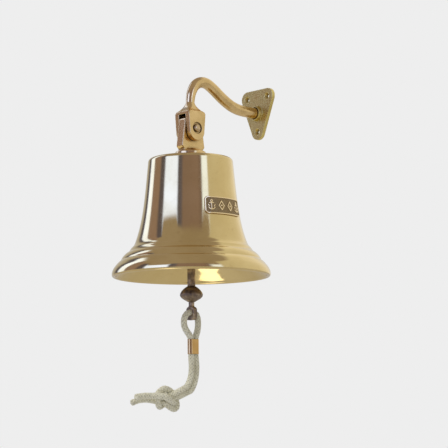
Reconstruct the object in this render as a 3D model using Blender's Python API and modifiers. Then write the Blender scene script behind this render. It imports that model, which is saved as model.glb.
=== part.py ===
"""Ship bell on a goose-neck wall bracket, with its clapper and a knotted rope lanyard.

Metres, +Z up. The origin is on the wall plate's back face, level with the arm's root.
+Y points into the wall and +X runs along the pivot bolt. The bell hangs at BELL_Y.
Heights given to up() are millimetres above the plane of the bell's mouth.
"""
import math

import bmesh
import bpy
from mathutils import Vector

MM = 0.001
GAP = 0.3 * MM                  # clearance between neighbouring pieces
OVERSHOOT = 1.0 * MM            # how far a cutter runs past the face it cuts

# Driving dimensions
BELL_Y = -121.0 * MM            # bell axis, measured from the wall
MOUTH_Z = -222.7 * MM           # plane of the bell's mouth
MOUTH_R = 100.0 * MM
SHOULDER_R = 53.8 * MM
CROWN_HEIGHT = 150.6            # flat top, above the mouth
CROWN_THICK = 4.0
SHOULDER_ROUND = 5.0
WAIST_TOP = CROWN_HEIGHT - SHOULDER_ROUND
WAIST_BOTTOM = 43.5
BELL_SEGMENTS = 48
ROUND_SEGMENTS = 24

PIN_HEIGHT = 188.6
PIN_R = 3.0 * MM
BOLT_HEAD_R = 4.9 * MM
BOLT_DOME = 2.6 * MM            # rise of the round head and of the nut's dome
BOLT_RIM = 0.8 * MM             # straight edge under the bolt's dome
NUT_RIM = 2.2 * MM
BOLT_TIP = 13.2 * MM            # past the pin's centre, towards -X
NUT_BORE_END = 13.6 * MM
RECESS_R = 7.2 * MM
RECESS_DEPTH = 2.0 * MM
FORK_HALF = 13.8 * MM
SLOT_HALF = 6.5 * MM
FORK_CEILING = 207.2
FORK_END_R = 12.0               # round lower end of each cheek
FORK_END_HEIGHT = 184.8         # its centre
LUG_THICK = 12.4 * MM
FOOT_GAP = 1.6                  # foot's underside above the crown: the gasket and its two clearances
NECK_HEIGHT = 223.2
NECK_R = 5.4 * MM
ROOT_R = 7.1 * MM
ARM_SWELL = 0.42                # share of the arm's length over which it thickens from neck to root

PLATE_THICK = 5.0 * MM
PLATE_CORNER_R = 10.5
PLATE_TOP_HOLES = (19.0, 21.0)
PLATE_BOTTOM_HOLE = (0.0, -24.2)
SCREW_HOLE_R = 2.2 * MM
COUNTERSINK_R = 4.4 * MM
BOSS_R = 10.5 * MM
BOSS_DEPTH = 5.0 * MM
SOCKET_FLOOR = 2.0 * MM

GASKET_R = 19.0 * MM
GASKET_THICK = 1.0
WASHER_R = 12.0 * MM
WASHER_THICK = 1.6
CROWN_NUT_R = 9.8 * MM          # over its corners
CROWN_NUT_HEIGHT = 6.2
STUD_R = 5.0 * MM
LINK_WIRE_R = 1.8 * MM
STUD_EYE_HEIGHT = 129.0
STUD_EYE_R = 3.0 * MM
STUD_END = 123.4
LINK_TOP = 128.1
LINK_BOTTOM = 112.1
LINK_HALF_WIDTH = 8.2
CLAPPER_TOP_WIRE = 116.0
CLAPPER_EYE_RING_R = 5.5
SHAFT_R = 5.0 * MM
SPIGOT_R = 2.2 * MM
BALL_TOP = -11.8
BALL_BOTTOM = -31.5
TAIL_HOLE_HEIGHT = -44.5
TAIL_HOLE_R = 4.5 * MM
TAIL_THICK = 6.0 * MM

ROPE_R = 3.4 * MM               # the solid is a little thinner than the 7.4 mm soft rope it stands for
ROPE_SQUEEZE = 0.94             # radius factor inside the ferrule
FERRULE_Y = 2.3
FERRULE_TOP = -78.0
FERRULE_LENGTH = 19.0 * MM
FERRULE_WIDTH = 16.0 * MM
FERRULE_DEPTH = 8.6 * MM
FERRULE_WALL = 0.7 * MM
KNOT_CENTRE = (0.0, -35.0, -152.5)
KNOT_HALF = (15.0, 17.0, 14.0)

PLAQUE_CENTRE = math.radians(3.5)     # from +X towards the wall
PLAQUE_HALF_ANGLE = math.radians(28.5)
PLAQUE_LOW = 72.8
PLAQUE_HIGH = 95.0
PLAQUE_CORNER = 5.0
PLAQUE_THICK = 1.9 * MM

# Routes of the two rope strands, in millimetres: (y from the bell axis, height above the mouth)
LEG_FRONT = [
    (-0.2, -44.5), (-3.0, -44.8), (-8.4, -47.2), (-12.2, -53.0), (-12.5, -60.5), (-9.4, -67.0),
    (-4.4, -72.6), (-1.6, -77.2), (-1.15, -84.0), (-1.1, -90.0), (-1.0, -96.0), (-0.7, -104.0),
    (-0.4, -113.0), (-1.4, -122.5), (-4.2, -131.0), (-9.0, -138.2), (-14.2, -143.0), (-18.8, -145.9)]
LEG_BACK = [
    (0.2, -44.5), (3.0, -44.8), (7.4, -46.8), (10.0, -52.0), (10.6, -60.0), (9.4, -67.5),
    (7.1, -73.4), (5.85, -78.0), (5.7, -84.0), (5.7, -90.0), (5.9, -96.0), (6.7, -104.0),
    (7.4, -113.0), (6.6, -123.5), (3.6, -133.2), (-2.0, -142.0), (-8.8, -148.6), (-15.6, -152.7)]
# Routes of the two rope ends beyond the knot: (x, y from the bell axis, height above the mouth)
END_FRONT = [(3.9, -52.8, -151.4), (4.2, -60.0, -151.0), (4.2, -68.0, -150.4), (4.0, -80.0, -150.6),
             (3.6, -93.0, -152.4)]
END_BACK = [(-3.9, -52.8, -154.0), (-4.4, -62.0, -154.6), (-5.0, -72.0, -154.8), (-5.5, -82.0, -155.8),
            (-5.8, -91.5, -158.8)]
# The arm's centreline: (distance from the bell axis towards the wall, height above the mouth)
ARM_ROUTE = [
    (0.0, 217.0), (0.1, 223.0), (0.6, 229.0), (2.4, 236.4), (7.0, 244.8), (13.6, 250.0),
    (21.2, 251.9), (28.2, 251.0), (35.0, 247.9), (43.5, 242.6), (53.0, 236.2), (62.3, 230.9),
    (72.0, 226.6), (83.0, 223.8), (97.0, 222.7), (118.5, 222.7)]


def up(height):
    """Row z of a height in millimetres above the bell's mouth."""
    return MOUTH_Z + height * MM


def clear_scene():
    for obj in list(bpy.data.objects):
        bpy.data.objects.remove(obj, do_unlink=True)


def new_collection(name):
    made = bpy.data.collections.new(name)
    bpy.context.scene.collection.children.link(made)
    return made


def new_material(name, colour, roughness, metallic):
    made = bpy.data.materials.new(name)
    made.use_nodes = True
    shader = made.node_tree.nodes["Principled BSDF"]
    shader.inputs["Base Color"].default_value = (*colour, 1.0)
    shader.inputs["Roughness"].default_value = roughness
    shader.inputs["Metallic"].default_value = metallic
    made.diffuse_color = (*colour, 1.0)
    return made


def place(name, data, collection, material=None):
    obj = bpy.data.objects.new(name, data)
    collection.objects.link(obj)
    if material:
        data.materials.append(material)
    return obj


def smooth(obj, angle=35.0):
    obj.data.shade_smooth()
    obj.data.set_sharp_from_angle(angle=math.radians(angle))


def as_cutter(obj):
    obj.hide_render = True
    obj.display_type = 'WIRE'
    return obj


def combine(obj, other, operation):
    """Live exact Boolean of obj with other; other must be in the cutters' collection."""
    mod = obj.modifiers.new(operation.lower(), 'BOOLEAN')
    mod.operation = operation
    mod.solver = 'EXACT'
    mod.object = as_cutter(other)


def arc(cx, cy, radius, start, end, steps):
    """Points of a circular arc, angles in degrees, both ends included."""
    return [(cx + radius * math.cos(math.radians(start + (end - start) * i / steps)),
             cy + radius * math.sin(math.radians(start + (end - start) * i / steps)))
            for i in range(steps + 1)]


def catmull(points, per_span):
    """Smooth curve through hand-chosen points, in two or three dimensions."""
    pts = [Vector(p) for p in points]
    pts = [2 * pts[0] - pts[1]] + pts + [2 * pts[-1] - pts[-2]]
    out = []
    for i in range(1, len(pts) - 2):
        p0, p1, p2, p3 = pts[i - 1:i + 3]
        for j in range(per_span):
            t = j / per_span
            out.append(0.5 * (2 * p1 + (p2 - p0) * t + (2 * p0 - 5 * p1 + 4 * p2 - p3) * t ** 2
                              + (3 * p1 - p0 - 3 * p2 + p3) * t ** 3))
    out.append(pts[-2])
    return out


def turned(name, profile, segments, collection, material=None, closed=False):
    """Screw a profile of (radius, z) in metres round +Z; it runs down the outer side."""
    mesh = bpy.data.meshes.new(name)
    edges = [(i, i + 1) for i in range(len(profile) - 1)]
    if closed:
        edges.append((len(profile) - 1, 0))
    mesh.from_pydata([(r, 0.0, z) for r, z in profile], edges, [])
    obj = place(name, mesh, collection, material)
    screw = obj.modifiers.new("turn", 'SCREW')
    screw.axis = 'Z'
    screw.angle = math.tau
    screw.steps = segments
    screw.render_steps = segments
    screw.use_merge_vertices = True
    screw.merge_threshold = 1e-5
    screw.use_smooth_shade = True
    return obj


def rod(name, radius, start, end, collection, material=None, end_radius=None, segments=ROUND_SEGMENTS):
    """A cylinder or cone primitive between two points, in metres."""
    start, end = Vector(start), Vector(end)
    mesh = bpy.data.meshes.new(name)
    bm = bmesh.new()
    bmesh.ops.create_cone(bm, cap_ends=True, segments=segments, radius1=radius,
                          radius2=radius if end_radius is None else end_radius,
                          depth=(end - start).length)
    bm.to_mesh(mesh)
    bm.free()
    obj = place(name, mesh, collection, material)
    obj.rotation_mode = 'QUATERNION'
    obj.rotation_quaternion = (end - start).to_track_quat('Z', 'Y')
    obj.location = (start + end) / 2
    return obj


def curve_to_mesh(obj, collection):
    """Replace a curve object by its welded mesh, at the same place."""
    bpy.context.view_layer.update()
    graph = bpy.context.evaluated_depsgraph_get()
    mesh = bpy.data.meshes.new_from_object(obj.evaluated_get(graph))
    bm = bmesh.new()
    bm.from_mesh(mesh)
    bmesh.ops.remove_doubles(bm, verts=bm.verts, dist=1e-6)
    bm.to_mesh(mesh)
    bm.free()
    made = bpy.data.objects.new(obj.name, mesh)
    made.matrix_world = obj.matrix_world
    collection.objects.link(made)
    name = obj.name
    bpy.data.objects.remove(obj, do_unlink=True)
    made.name = name
    return made


def tube(name, points, radius, collection, material=None, factors=None, sides=2, cyclic=False):
    """A round bar along points in metres; factors scale its radius point by point."""
    data = bpy.data.curves.new(name, 'CURVE')
    data.dimensions = '3D'
    data.bevel_depth = radius
    data.bevel_resolution = sides
    data.use_fill_caps = not cyclic
    spline = data.splines.new('POLY')
    spline.points.add(len(points) - 1)
    for i, point in enumerate(points):
        spline.points[i].co = (*point, 1.0)
        spline.points[i].radius = factors[i] if factors else 1.0
    spline.use_cyclic_u = cyclic
    made = curve_to_mesh(place(name, data, collection), collection)
    if material:
        made.data.materials.append(material)
    return made


def flat(name, outline, thickness, collection, rotation, location, material=None):
    """A flat outline in millimetres, extruded to a thickness in metres about its own plane."""
    data = bpy.data.curves.new(name, 'CURVE')
    data.dimensions = '2D'
    data.fill_mode = 'BOTH'
    data.extrude = thickness / 2
    spline = data.splines.new('POLY')
    spline.points.add(len(outline) - 1)
    for point, (a, b) in zip(spline.points, outline):
        point.co = (a * MM, b * MM, 0.0, 1.0)
    spline.use_cyclic_u = True
    obj = place(name, data, collection)
    obj.rotation_euler = rotation
    obj.location = location
    made = curve_to_mesh(obj, collection)
    if material:
        made.data.materials.append(material)
    return made


ALONG_X = (math.pi / 2, 0.0, math.pi / 2)      # outline (y, z), thickness along X
ALONG_Y = (math.pi / 2, 0.0, 0.0)              # outline (x, z), thickness along Y


def bevel(obj, width, segments=2, angle=40.0):
    mod = obj.modifiers.new("edges", 'BEVEL')
    mod.width = width
    mod.segments = segments
    mod.limit_method = 'ANGLE'
    mod.angle_limit = math.radians(angle)
    mod.use_clamp_overlap = True


def waist_radius(height):
    """Outer radius of the bell's waist, in metres, between its shoulder and its flare."""
    t = (WAIST_TOP - height) / (WAIST_TOP - WAIST_BOTTOM)
    return SHOULDER_R + (9.7 * t + 6.9 * t ** 4) * MM


def bell_profile():
    """Closed outline of the bell's wall, from the crown's hole over the outside and back inside."""
    hole = (STUD_R + GAP) / MM
    shoulder = SHOULDER_R / MM - SHOULDER_ROUND
    outer = [(hole, CROWN_HEIGHT)]
    outer += arc(shoulder, WAIST_TOP, SHOULDER_ROUND, 90.0, 0.0, 4)
    steps = 7
    outer += [(waist_radius(WAIST_TOP + (WAIST_BOTTOM - WAIST_TOP) * i / steps) / MM,
               WAIST_TOP + (WAIST_BOTTOM - WAIST_TOP) * i / steps) for i in range(1, steps + 1)]
    outer += [(74.9, 36.4), (75.8, 35.3), (78.6, 31.8), (81.0, 30.0), (85.0, 26.2), (87.9, 22.4),
              (88.3, 21.0), (90.6, 19.0), (94.6, 14.8), (98.1, 10.2), (99.7, 6.2), (100.0, 3.0),
              (99.4, 0.4)]
    lip = [(96.4, 0.0)]
    inner = [(93.8, 4.0), (88.4, 11.0), (82.0, 18.6), (75.2, 28.0), (69.2, 39.0), (63.2, 57.0),
             (58.4, 86.0), (51.0, CROWN_HEIGHT - 14.0)]
    inner += arc(44.9, CROWN_HEIGHT - CROWN_THICK - 6.0, 6.0, 0.0, 90.0, 3)
    inner += [(hole, CROWN_HEIGHT - CROWN_THICK)]
    return [(r * MM, up(z)) for r, z in outer + lip + inner]


def make_bell_shell(parts, brass):
    obj = turned("bell_shell", bell_profile(), BELL_SEGMENTS, parts, brass, closed=True)
    obj.location.y = BELL_Y
    return obj


def make_plaque(parts, brass):
    """Curved plate that follows the waist, with rounded corners."""
    columns, rows = 24, 4
    verts, faces = [], []
    half_width = PLAQUE_HALF_ANGLE * waist_radius((PLAQUE_LOW + PLAQUE_HIGH) / 2) / MM
    for i in range(columns + 1):
        angle = -PLAQUE_HALF_ANGLE + 2 * PLAQUE_HALF_ANGLE * i / columns
        past = abs(angle) / PLAQUE_HALF_ANGLE * half_width - (half_width - PLAQUE_CORNER)
        trim = PLAQUE_CORNER - math.sqrt(max(PLAQUE_CORNER ** 2 - max(past, 0.0) ** 2, 0.25))
        low, high = PLAQUE_LOW + trim, PLAQUE_HIGH - trim
        for j in range(rows + 1):
            height = low + (high - low) * j / rows
            radius = waist_radius(height) + GAP
            turn = PLAQUE_CENTRE + angle
            verts.append((radius * math.cos(turn), radius * math.sin(turn), up(height)))
    for i in range(columns):
        for j in range(rows):
            a = i * (rows + 1) + j
            b = a + rows + 1
            faces.append((a, b, b + 1, a + 1))
    mesh = bpy.data.meshes.new("plaque")
    mesh.from_pydata(verts, [], faces)
    obj = place("plaque", mesh, parts, brass)
    obj.location.y = BELL_Y
    solid = obj.modifiers.new("thickness", 'SOLIDIFY')
    solid.thickness = PLAQUE_THICK
    solid.offset = 1.0
    return obj


def make_wall_plate(parts, cutters, brass):
    """Three-cornered plate with a boss for the arm's spigot and three countersunk holes."""
    (px, pz), (_, bottom) = PLATE_TOP_HOLES, PLATE_BOTTOM_HOLE
    lean = math.degrees(math.atan2(px, pz - bottom))
    outline = arc(-px, pz, PLATE_CORNER_R, 90.0, 180.0 + lean, 7)
    outline += arc(0.0, bottom, PLATE_CORNER_R, 180.0 + lean, 360.0 - lean, 9)
    outline += arc(px, pz, PLATE_CORNER_R, -lean, 90.0, 7)
    plate = flat("wall_plate", outline, PLATE_THICK, parts, ALONG_Y, (0.0, -PLATE_THICK / 2, 0.0), brass)
    bevel(plate, 0.6 * MM)
    front = -PLATE_THICK
    boss = rod("boss", BOSS_R, (0.0, front + OVERSHOOT, 0.0), (0.0, front - BOSS_DEPTH, 0.0), cutters,
               end_radius=BOSS_R - 1.5 * MM)
    combine(plate, boss, 'UNION')
    socket = rod("arm_socket", ROOT_R + GAP, (0.0, -SOCKET_FLOOR, 0.0),
                 (0.0, front - BOSS_DEPTH - OVERSHOOT, 0.0), cutters)
    combine(plate, socket, 'DIFFERENCE')
    for index, (x, z) in enumerate(((-px, pz), (px, pz), PLATE_BOTTOM_HOLE)):
        x, z = x * MM, z * MM
        drill = rod(f"screw_drill_{index}", SCREW_HOLE_R, (x, OVERSHOOT, z), (x, front - OVERSHOOT, z),
                    cutters, segments=16)
        combine(plate, drill, 'DIFFERENCE')
        sink = rod(f"countersink_{index}", SCREW_HOLE_R, (x, front + COUNTERSINK_R - SCREW_HOLE_R, z),
                   (x, front - OVERSHOOT, z), cutters, end_radius=COUNTERSINK_R + OVERSHOOT, segments=16)
        combine(plate, sink, 'DIFFERENCE')
    return plate


def superellipse(half, power, count):
    """Points round a square-ish section: power 2 is a circle, a high power a square."""
    points = []
    for i in range(count):
        c, s = math.cos(math.tau * i / count), math.sin(math.tau * i / count)
        points.append((half * math.copysign(abs(c) ** (2 / power), c),
                       half * math.copysign(abs(s) ** (2 / power), s)))
    return points


def make_fork_head(cutters):
    """Loft from the fork's square shoulder up to the arm's round neck."""
    square = FORK_HALF / MM
    sections = [(FORK_CEILING - 0.4, square, 14.0), (FORK_CEILING + 2.0, square, 14.0), (210.4, 13.1, 9.0),
                (214.2, 9.6, 4.5), (218.2, 7.0, 2.8), (221.2, 5.9, 2.2), (NECK_HEIGHT, NECK_R / MM, 2.0)]
    count = 24
    mesh = bpy.data.meshes.new("fork_head")
    bm = bmesh.new()
    rings = []
    for height, half, power in sections:
        ring = superellipse(half, power, count)
        rings.append([bm.verts.new((x * MM, y * MM, up(height))) for x, y in ring])
    for lower, upper in zip(rings, rings[1:]):
        for i in range(count):
            j = (i + 1) % count
            bm.faces.new((lower[i], lower[j], upper[j], upper[i]))
    bm.faces.new(reversed(rings[0]))
    bm.faces.new(rings[-1])
    bm.to_mesh(mesh)
    bm.free()
    head = place("fork_head", mesh, cutters)
    head.location.y = BELL_Y
    return head


def make_bracket_arm(parts, cutters, brass):
    """Goose-neck arm, its spigot at the wall and its fork over the bell."""
    route = catmull(ARM_ROUTE, 2)
    grow = [min(1.0, i / (ARM_SWELL * len(route))) for i in range(len(route))]
    factors = [(NECK_R + (ROOT_R - NECK_R) * g * g * (3 - 2 * g)) / ROOT_R for g in grow]
    points = [(0.0, BELL_Y + p.x * MM, up(p.y)) for p in route]
    arm = tube("bracket_arm", points, ROOT_R, parts, brass, factors, sides=5)
    combine(arm, make_fork_head(cutters), 'UNION')
    side_y, top = FORK_HALF / MM, FORK_CEILING + 1.0
    outline = [(side_y, top), (side_y, FORK_CEILING - 2.0)]
    outline += arc(0.0, FORK_END_HEIGHT, FORK_END_R, 0.0, -180.0, 12)
    outline += [(-side_y, FORK_CEILING - 2.0), (-side_y, top)]
    thick = FORK_HALF - SLOT_HALF
    for side in (-1, 1):
        cheek = flat(f"fork_cheek_{side}", outline, thick, cutters, ALONG_X,
                     (side * (SLOT_HALF + thick / 2), BELL_Y, MOUTH_Z))
        combine(arm, cheek, 'UNION')
    z = up(PIN_HEIGHT)
    bore = rod("fork_bore", PIN_R + GAP, (-0.02, BELL_Y, z), (0.02, BELL_Y, z), cutters)
    combine(arm, bore, 'DIFFERENCE')
    for side in (-1, 1):
        recess = rod(f"head_recess_{side}", RECESS_R, (side * (FORK_HALF - RECESS_DEPTH), BELL_Y, z),
                     (side * (FORK_HALF + OVERSHOOT), BELL_Y, z), cutters)
        combine(arm, recess, 'DIFFERENCE')
    return arm


def lay_along_x(obj, side):
    """Turn a piece made along +Z so that it points along +X or -X from the pin's centre."""
    obj.rotation_euler = (0.0, side * math.pi / 2, 0.0)
    obj.location = (0.0, BELL_Y, up(PIN_HEIGHT))


def make_pivot_bolt(parts, brass):
    """Round-headed bolt; its head seats in the +X recess and its shank ends in the dome nut."""
    seat = (FORK_HALF - RECESS_DEPTH) + GAP
    head = [(BOLT_HEAD_R * math.cos(math.radians(a)), seat + BOLT_RIM + BOLT_DOME * math.sin(math.radians(a)))
            for a in (90, 70, 50, 30, 10, 0)]
    head[0] = (0.0, head[0][1])
    profile = head + [(BOLT_HEAD_R, seat), (PIN_R, seat), (PIN_R, -BOLT_TIP), (0.0, -BOLT_TIP)]
    bolt = turned("pivot_bolt", profile, ROUND_SEGMENTS, parts, brass)
    lay_along_x(bolt, 1)
    return bolt


def make_pivot_nut(parts, brass):
    """Blind dome nut in the -X recess."""
    seat = (FORK_HALF - RECESS_DEPTH) + GAP
    bore = PIN_R + GAP
    dome = [(BOLT_HEAD_R * math.cos(math.radians(a)), seat + NUT_RIM + BOLT_DOME * math.sin(math.radians(a)))
            for a in (90, 65, 40, 15, 0)]
    dome[0] = (0.0, dome[0][1])
    profile = dome + [(BOLT_HEAD_R, seat), (bore, seat), (bore, NUT_BORE_END), (0.0, NUT_BORE_END)]
    nut = turned("pivot_nut", profile, ROUND_SEGMENTS, parts, brass)
    lay_along_x(nut, -1)
    return nut


def make_hanger_lug(parts, cutters, brass):
    """Block lug in the fork, on a round foot whose drilled stud goes through the crown."""
    top_round, reach = 5.0, 9.2
    top = PIN_HEIGHT + reach
    outline = arc(9.0, top, top_round, 0.0, 90.0, 4) + arc(-9.0, top, top_round, 90.0, 180.0, 4)
    outline += [(-18.6, 165.5), (-15.4, 161.8), (-15.4, 159.6), (15.4, 159.6), (15.4, 161.8), (18.6, 165.5)]
    lug = flat("hanger_lug", outline, LUG_THICK, parts, ALONG_X, (0.0, BELL_Y, MOUTH_Z), brass)
    bevel(lug, 0.9 * MM)
    foot_bottom = CROWN_HEIGHT + FOOT_GAP
    foot = [(0.0, up(162.2)), (13.4 * MM, up(162.2)), (14.6 * MM, up(161.0)), (17.6 * MM, up(159.8)),
            (19.4 * MM, up(158.4)), (19.4 * MM, up(foot_bottom)), (STUD_R, up(foot_bottom)),
            (STUD_R, up(STUD_END + 1.0)), (STUD_R - 1.0 * MM, up(STUD_END)), (0.0, up(STUD_END))]
    base = turned("lug_foot", foot, ROUND_SEGMENTS * 2, cutters)
    base.location.y = BELL_Y
    combine(lug, base, 'UNION')
    z = up(PIN_HEIGHT)
    bore = rod("lug_bore", PIN_R + GAP, (-0.02, BELL_Y, z), (0.02, BELL_Y, z), cutters)
    combine(lug, bore, 'DIFFERENCE')
    z = up(STUD_EYE_HEIGHT)
    eye = rod("stud_eye_drill", STUD_EYE_R, (-0.02, BELL_Y, z), (0.02, BELL_Y, z), cutters)
    combine(lug, eye, 'DIFFERENCE')
    return lug


def make_ring(name, inner, outer, bottom, top, segments, parts, material):
    """Flat ring between two heights above the mouth; radii in metres."""
    profile = [(inner, up(top)), (outer, up(top)), (outer, up(bottom)), (inner, up(bottom))]
    ring = turned(name, profile, segments, parts, material, closed=True)
    ring.location.y = BELL_Y
    return ring


def make_crown_stack(parts, cutters, brass, leather):
    """Leather gasket above the crown, and the washer and hexagonal nut below it."""
    bore, gap, past = STUD_R + GAP, GAP / MM, OVERSHOOT / MM
    gasket_bottom = CROWN_HEIGHT + gap
    gasket = make_ring("crown_gasket", bore, GASKET_R, gasket_bottom, gasket_bottom + GASKET_THICK,
                       ROUND_SEGMENTS * 2, parts, leather)
    washer_top = CROWN_HEIGHT - CROWN_THICK - gap
    washer_bottom = washer_top - WASHER_THICK
    washer = make_ring("crown_washer", bore, WASHER_R, washer_bottom, washer_top, ROUND_SEGMENTS,
                       parts, brass)
    top = washer_bottom - gap
    bottom = top - CROWN_NUT_HEIGHT
    nut = rod("crown_nut", CROWN_NUT_R, (0.0, BELL_Y, up(bottom)), (0.0, BELL_Y, up(top)), parts, brass,
              segments=6)
    thread = rod("nut_thread", bore, (0.0, BELL_Y, up(bottom - past)), (0.0, BELL_Y, up(top + past)), cutters)
    combine(nut, thread, 'DIFFERENCE')
    return gasket, washer, nut


def make_clapper_link(parts, bronze):
    """D-shaped link: its straight bar lies in the stud's eye, its bow carries the clapper."""
    corner = 3.0
    half = LINK_HALF_WIDTH
    bow_centre = LINK_BOTTOM + half
    outline = arc(half - corner, LINK_TOP - corner, corner, 90.0, 0.0, 4)
    outline += arc(0.0, bow_centre, half, 0.0, -180.0, 14)
    outline += arc(-half + corner, LINK_TOP - corner, corner, 180.0, 90.0, 4)
    points = [(x * MM, BELL_Y, up(z)) for x, z in outline]
    return tube("clapper_link", points, LINK_WIRE_R, parts, bronze, sides=3, cyclic=True)


def make_clapper_shaft(parts, cutters, bronze):
    """Shaft with an eye on top and a spigot that carries the ball and the tail."""
    centre = CLAPPER_TOP_WIRE - CLAPPER_EYE_RING_R
    end = -36.0
    profile = [(0.0, up(106.5)), (3.4 * MM, up(106.5)), (SHAFT_R, up(103.0)), (SHAFT_R, up(BALL_TOP + 0.3)),
               (SPIGOT_R, up(BALL_TOP + 0.3)), (SPIGOT_R, up(end)), (0.0, up(end))]
    shaft = turned("clapper_shaft", profile, ROUND_SEGMENTS, parts, bronze)
    shaft.location.y = BELL_Y
    ring = [(0.0, BELL_Y + y * MM, up(z)) for y, z in arc(0.0, centre, CLAPPER_EYE_RING_R, 0.0, 345.0, 23)]
    eye = tube("clapper_eye_ring", ring, LINK_WIRE_R, cutters, sides=3, cyclic=True)
    combine(shaft, eye, 'UNION')
    return shaft


def make_clapper_ball(parts, bronze):
    """Turnip-shaped striker, bored for the shaft's spigot."""
    bore = SPIGOT_R + GAP
    outer = [(bore, up(BALL_TOP)), (5.6 * MM, up(BALL_TOP)), (9.6 * MM, up(-15.0)), (12.8 * MM, up(-18.4)),
             (14.4 * MM, up(-21.6)), (14.3 * MM, up(-23.6)), (12.4 * MM, up(-26.4)), (7.6 * MM, up(-29.6)),
             (4.6 * MM, up(BALL_BOTTOM)), (bore, up(BALL_BOTTOM))]
    ball = turned("clapper_ball", outer, ROUND_SEGMENTS, parts, bronze, closed=True)
    ball.location.y = BELL_Y
    return ball


def make_clapper_tail(parts, cutters, bronze):
    """Neck and flat eye screwed on under the ball; the lanyard passes through the eye."""
    outline = [(-7.2, -40.5), (-4.4, -37.6), (4.4, -37.6), (7.2, -40.5), (7.2, -51.6), (5.0, -54.2),
               (-5.0, -54.2), (-7.2, -51.6)]
    tail = flat("clapper_tail", outline, TAIL_THICK, parts, ALONG_Y, (0.0, BELL_Y, MOUTH_Z), bronze)
    bevel(tail, 0.8 * MM)
    top = up(BALL_BOTTOM - 0.3)
    neck = rod("tail_neck", 3.8 * MM, (0.0, BELL_Y, top), (0.0, BELL_Y, up(-38.6)), cutters)
    combine(tail, neck, 'UNION')
    bore = rod("tail_bore", SPIGOT_R + GAP, (0.0, BELL_Y, top + OVERSHOOT), (0.0, BELL_Y, up(-36.4)), cutters)
    combine(tail, bore, 'DIFFERENCE')
    z = up(TAIL_HOLE_HEIGHT - 0.4)
    eye = rod("tail_eye_drill", TAIL_HOLE_R, (0.0, BELL_Y - 0.01, z), (0.0, BELL_Y + 0.01, z), cutters)
    combine(tail, eye, 'DIFFERENCE')
    return tail


def make_rope(parts, rope):
    """Two legs from the eye to the knot, the knot's outer shape, and the two free ends."""
    for name, route in (("lanyard_leg_front", LEG_FRONT), ("lanyard_leg_back", LEG_BACK)):
        points = catmull(route, 2)
        squeeze = [ROPE_SQUEEZE if FERRULE_TOP + 3 > p.y > FERRULE_TOP - 21 else 1.0 for p in points]
        tube(name, [(0.0, BELL_Y + p.x * MM, up(p.y)) for p in points], ROPE_R, parts, rope, squeeze)
    for name, route in (("lanyard_end_front", END_FRONT), ("lanyard_end_back", END_BACK)):
        points = catmull(route, 2)
        tube(name, [(p.x * MM, BELL_Y + p.y * MM, up(p.z)) for p in points], ROPE_R, parts, rope)
    mesh = bpy.data.meshes.new("lanyard_knot")
    bm = bmesh.new()
    bmesh.ops.create_uvsphere(bm, u_segments=20, v_segments=12, radius=1.0)
    bmesh.ops.scale(bm, vec=[h * MM for h in KNOT_HALF], verts=bm.verts)
    bm.to_mesh(mesh)
    bm.free()
    knot = place("lanyard_knot", mesh, parts, rope)
    x, y, z = KNOT_CENTRE
    knot.location = (x * MM, BELL_Y + y * MM, up(z))


def make_ferrule(parts, cutters, brass):
    """Brass sleeve pressed round both legs."""
    def stadium(width, depth):
        half, radius = (width - depth) / 2 / MM, depth / 2 / MM
        ends = arc(-half, 0.0, radius, 90.0, 270.0, 8) + arc(half, 0.0, radius, -90.0, 90.0, 8)
        return [(-a, b) for a, b in ends]
    turn = (0.0, 0.0, math.pi / 2)
    centre = (0.0, BELL_Y + FERRULE_Y * MM, up(FERRULE_TOP) - FERRULE_LENGTH / 2)
    sleeve = flat("lanyard_ferrule", stadium(FERRULE_WIDTH, FERRULE_DEPTH), FERRULE_LENGTH, parts, turn,
                  centre, brass)
    bore = flat("ferrule_bore", stadium(FERRULE_WIDTH - 2 * FERRULE_WALL, FERRULE_DEPTH - 2 * FERRULE_WALL),
                FERRULE_LENGTH + 2 * OVERSHOOT, cutters, turn, centre)
    combine(sleeve, bore, 'DIFFERENCE')
    return sleeve


def main():
    clear_scene()
    parts = new_collection("ship_bell")
    cutters = new_collection("cutters")
    brass = new_material("polished_brass", (0.72, 0.52, 0.24), 0.12, 1.0)
    bracket = new_material("cast_brass", (0.62, 0.45, 0.21), 0.24, 1.0)
    bronze = new_material("aged_bronze", (0.12, 0.075, 0.05), 0.45, 1.0)
    rope = new_material("cotton_rope", (0.68, 0.65, 0.55), 0.9, 0.0)
    leather = new_material("leather", (0.10, 0.06, 0.04), 0.8, 0.0)

    make_wall_plate(parts, cutters, bracket)
    make_bracket_arm(parts, cutters, bracket)
    make_pivot_bolt(parts, bracket)
    make_pivot_nut(parts, bracket)
    make_bell_shell(parts, brass)
    make_plaque(parts, brass)
    make_hanger_lug(parts, cutters, bracket)
    make_crown_stack(parts, cutters, bracket, leather)
    make_clapper_link(parts, bronze)
    make_clapper_shaft(parts, cutters, bronze)
    make_clapper_ball(parts, bronze)
    make_clapper_tail(parts, cutters, bronze)
    make_rope(parts, rope)
    make_ferrule(parts, cutters, bracket)
    for obj in parts.objects:
        smooth(obj)


main()
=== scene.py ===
"""Looks of the ship bell: fine meshes, materials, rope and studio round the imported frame."""
import math

import bmesh
import bpy
import numpy as np
from mathutils import Matrix, Vector


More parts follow.
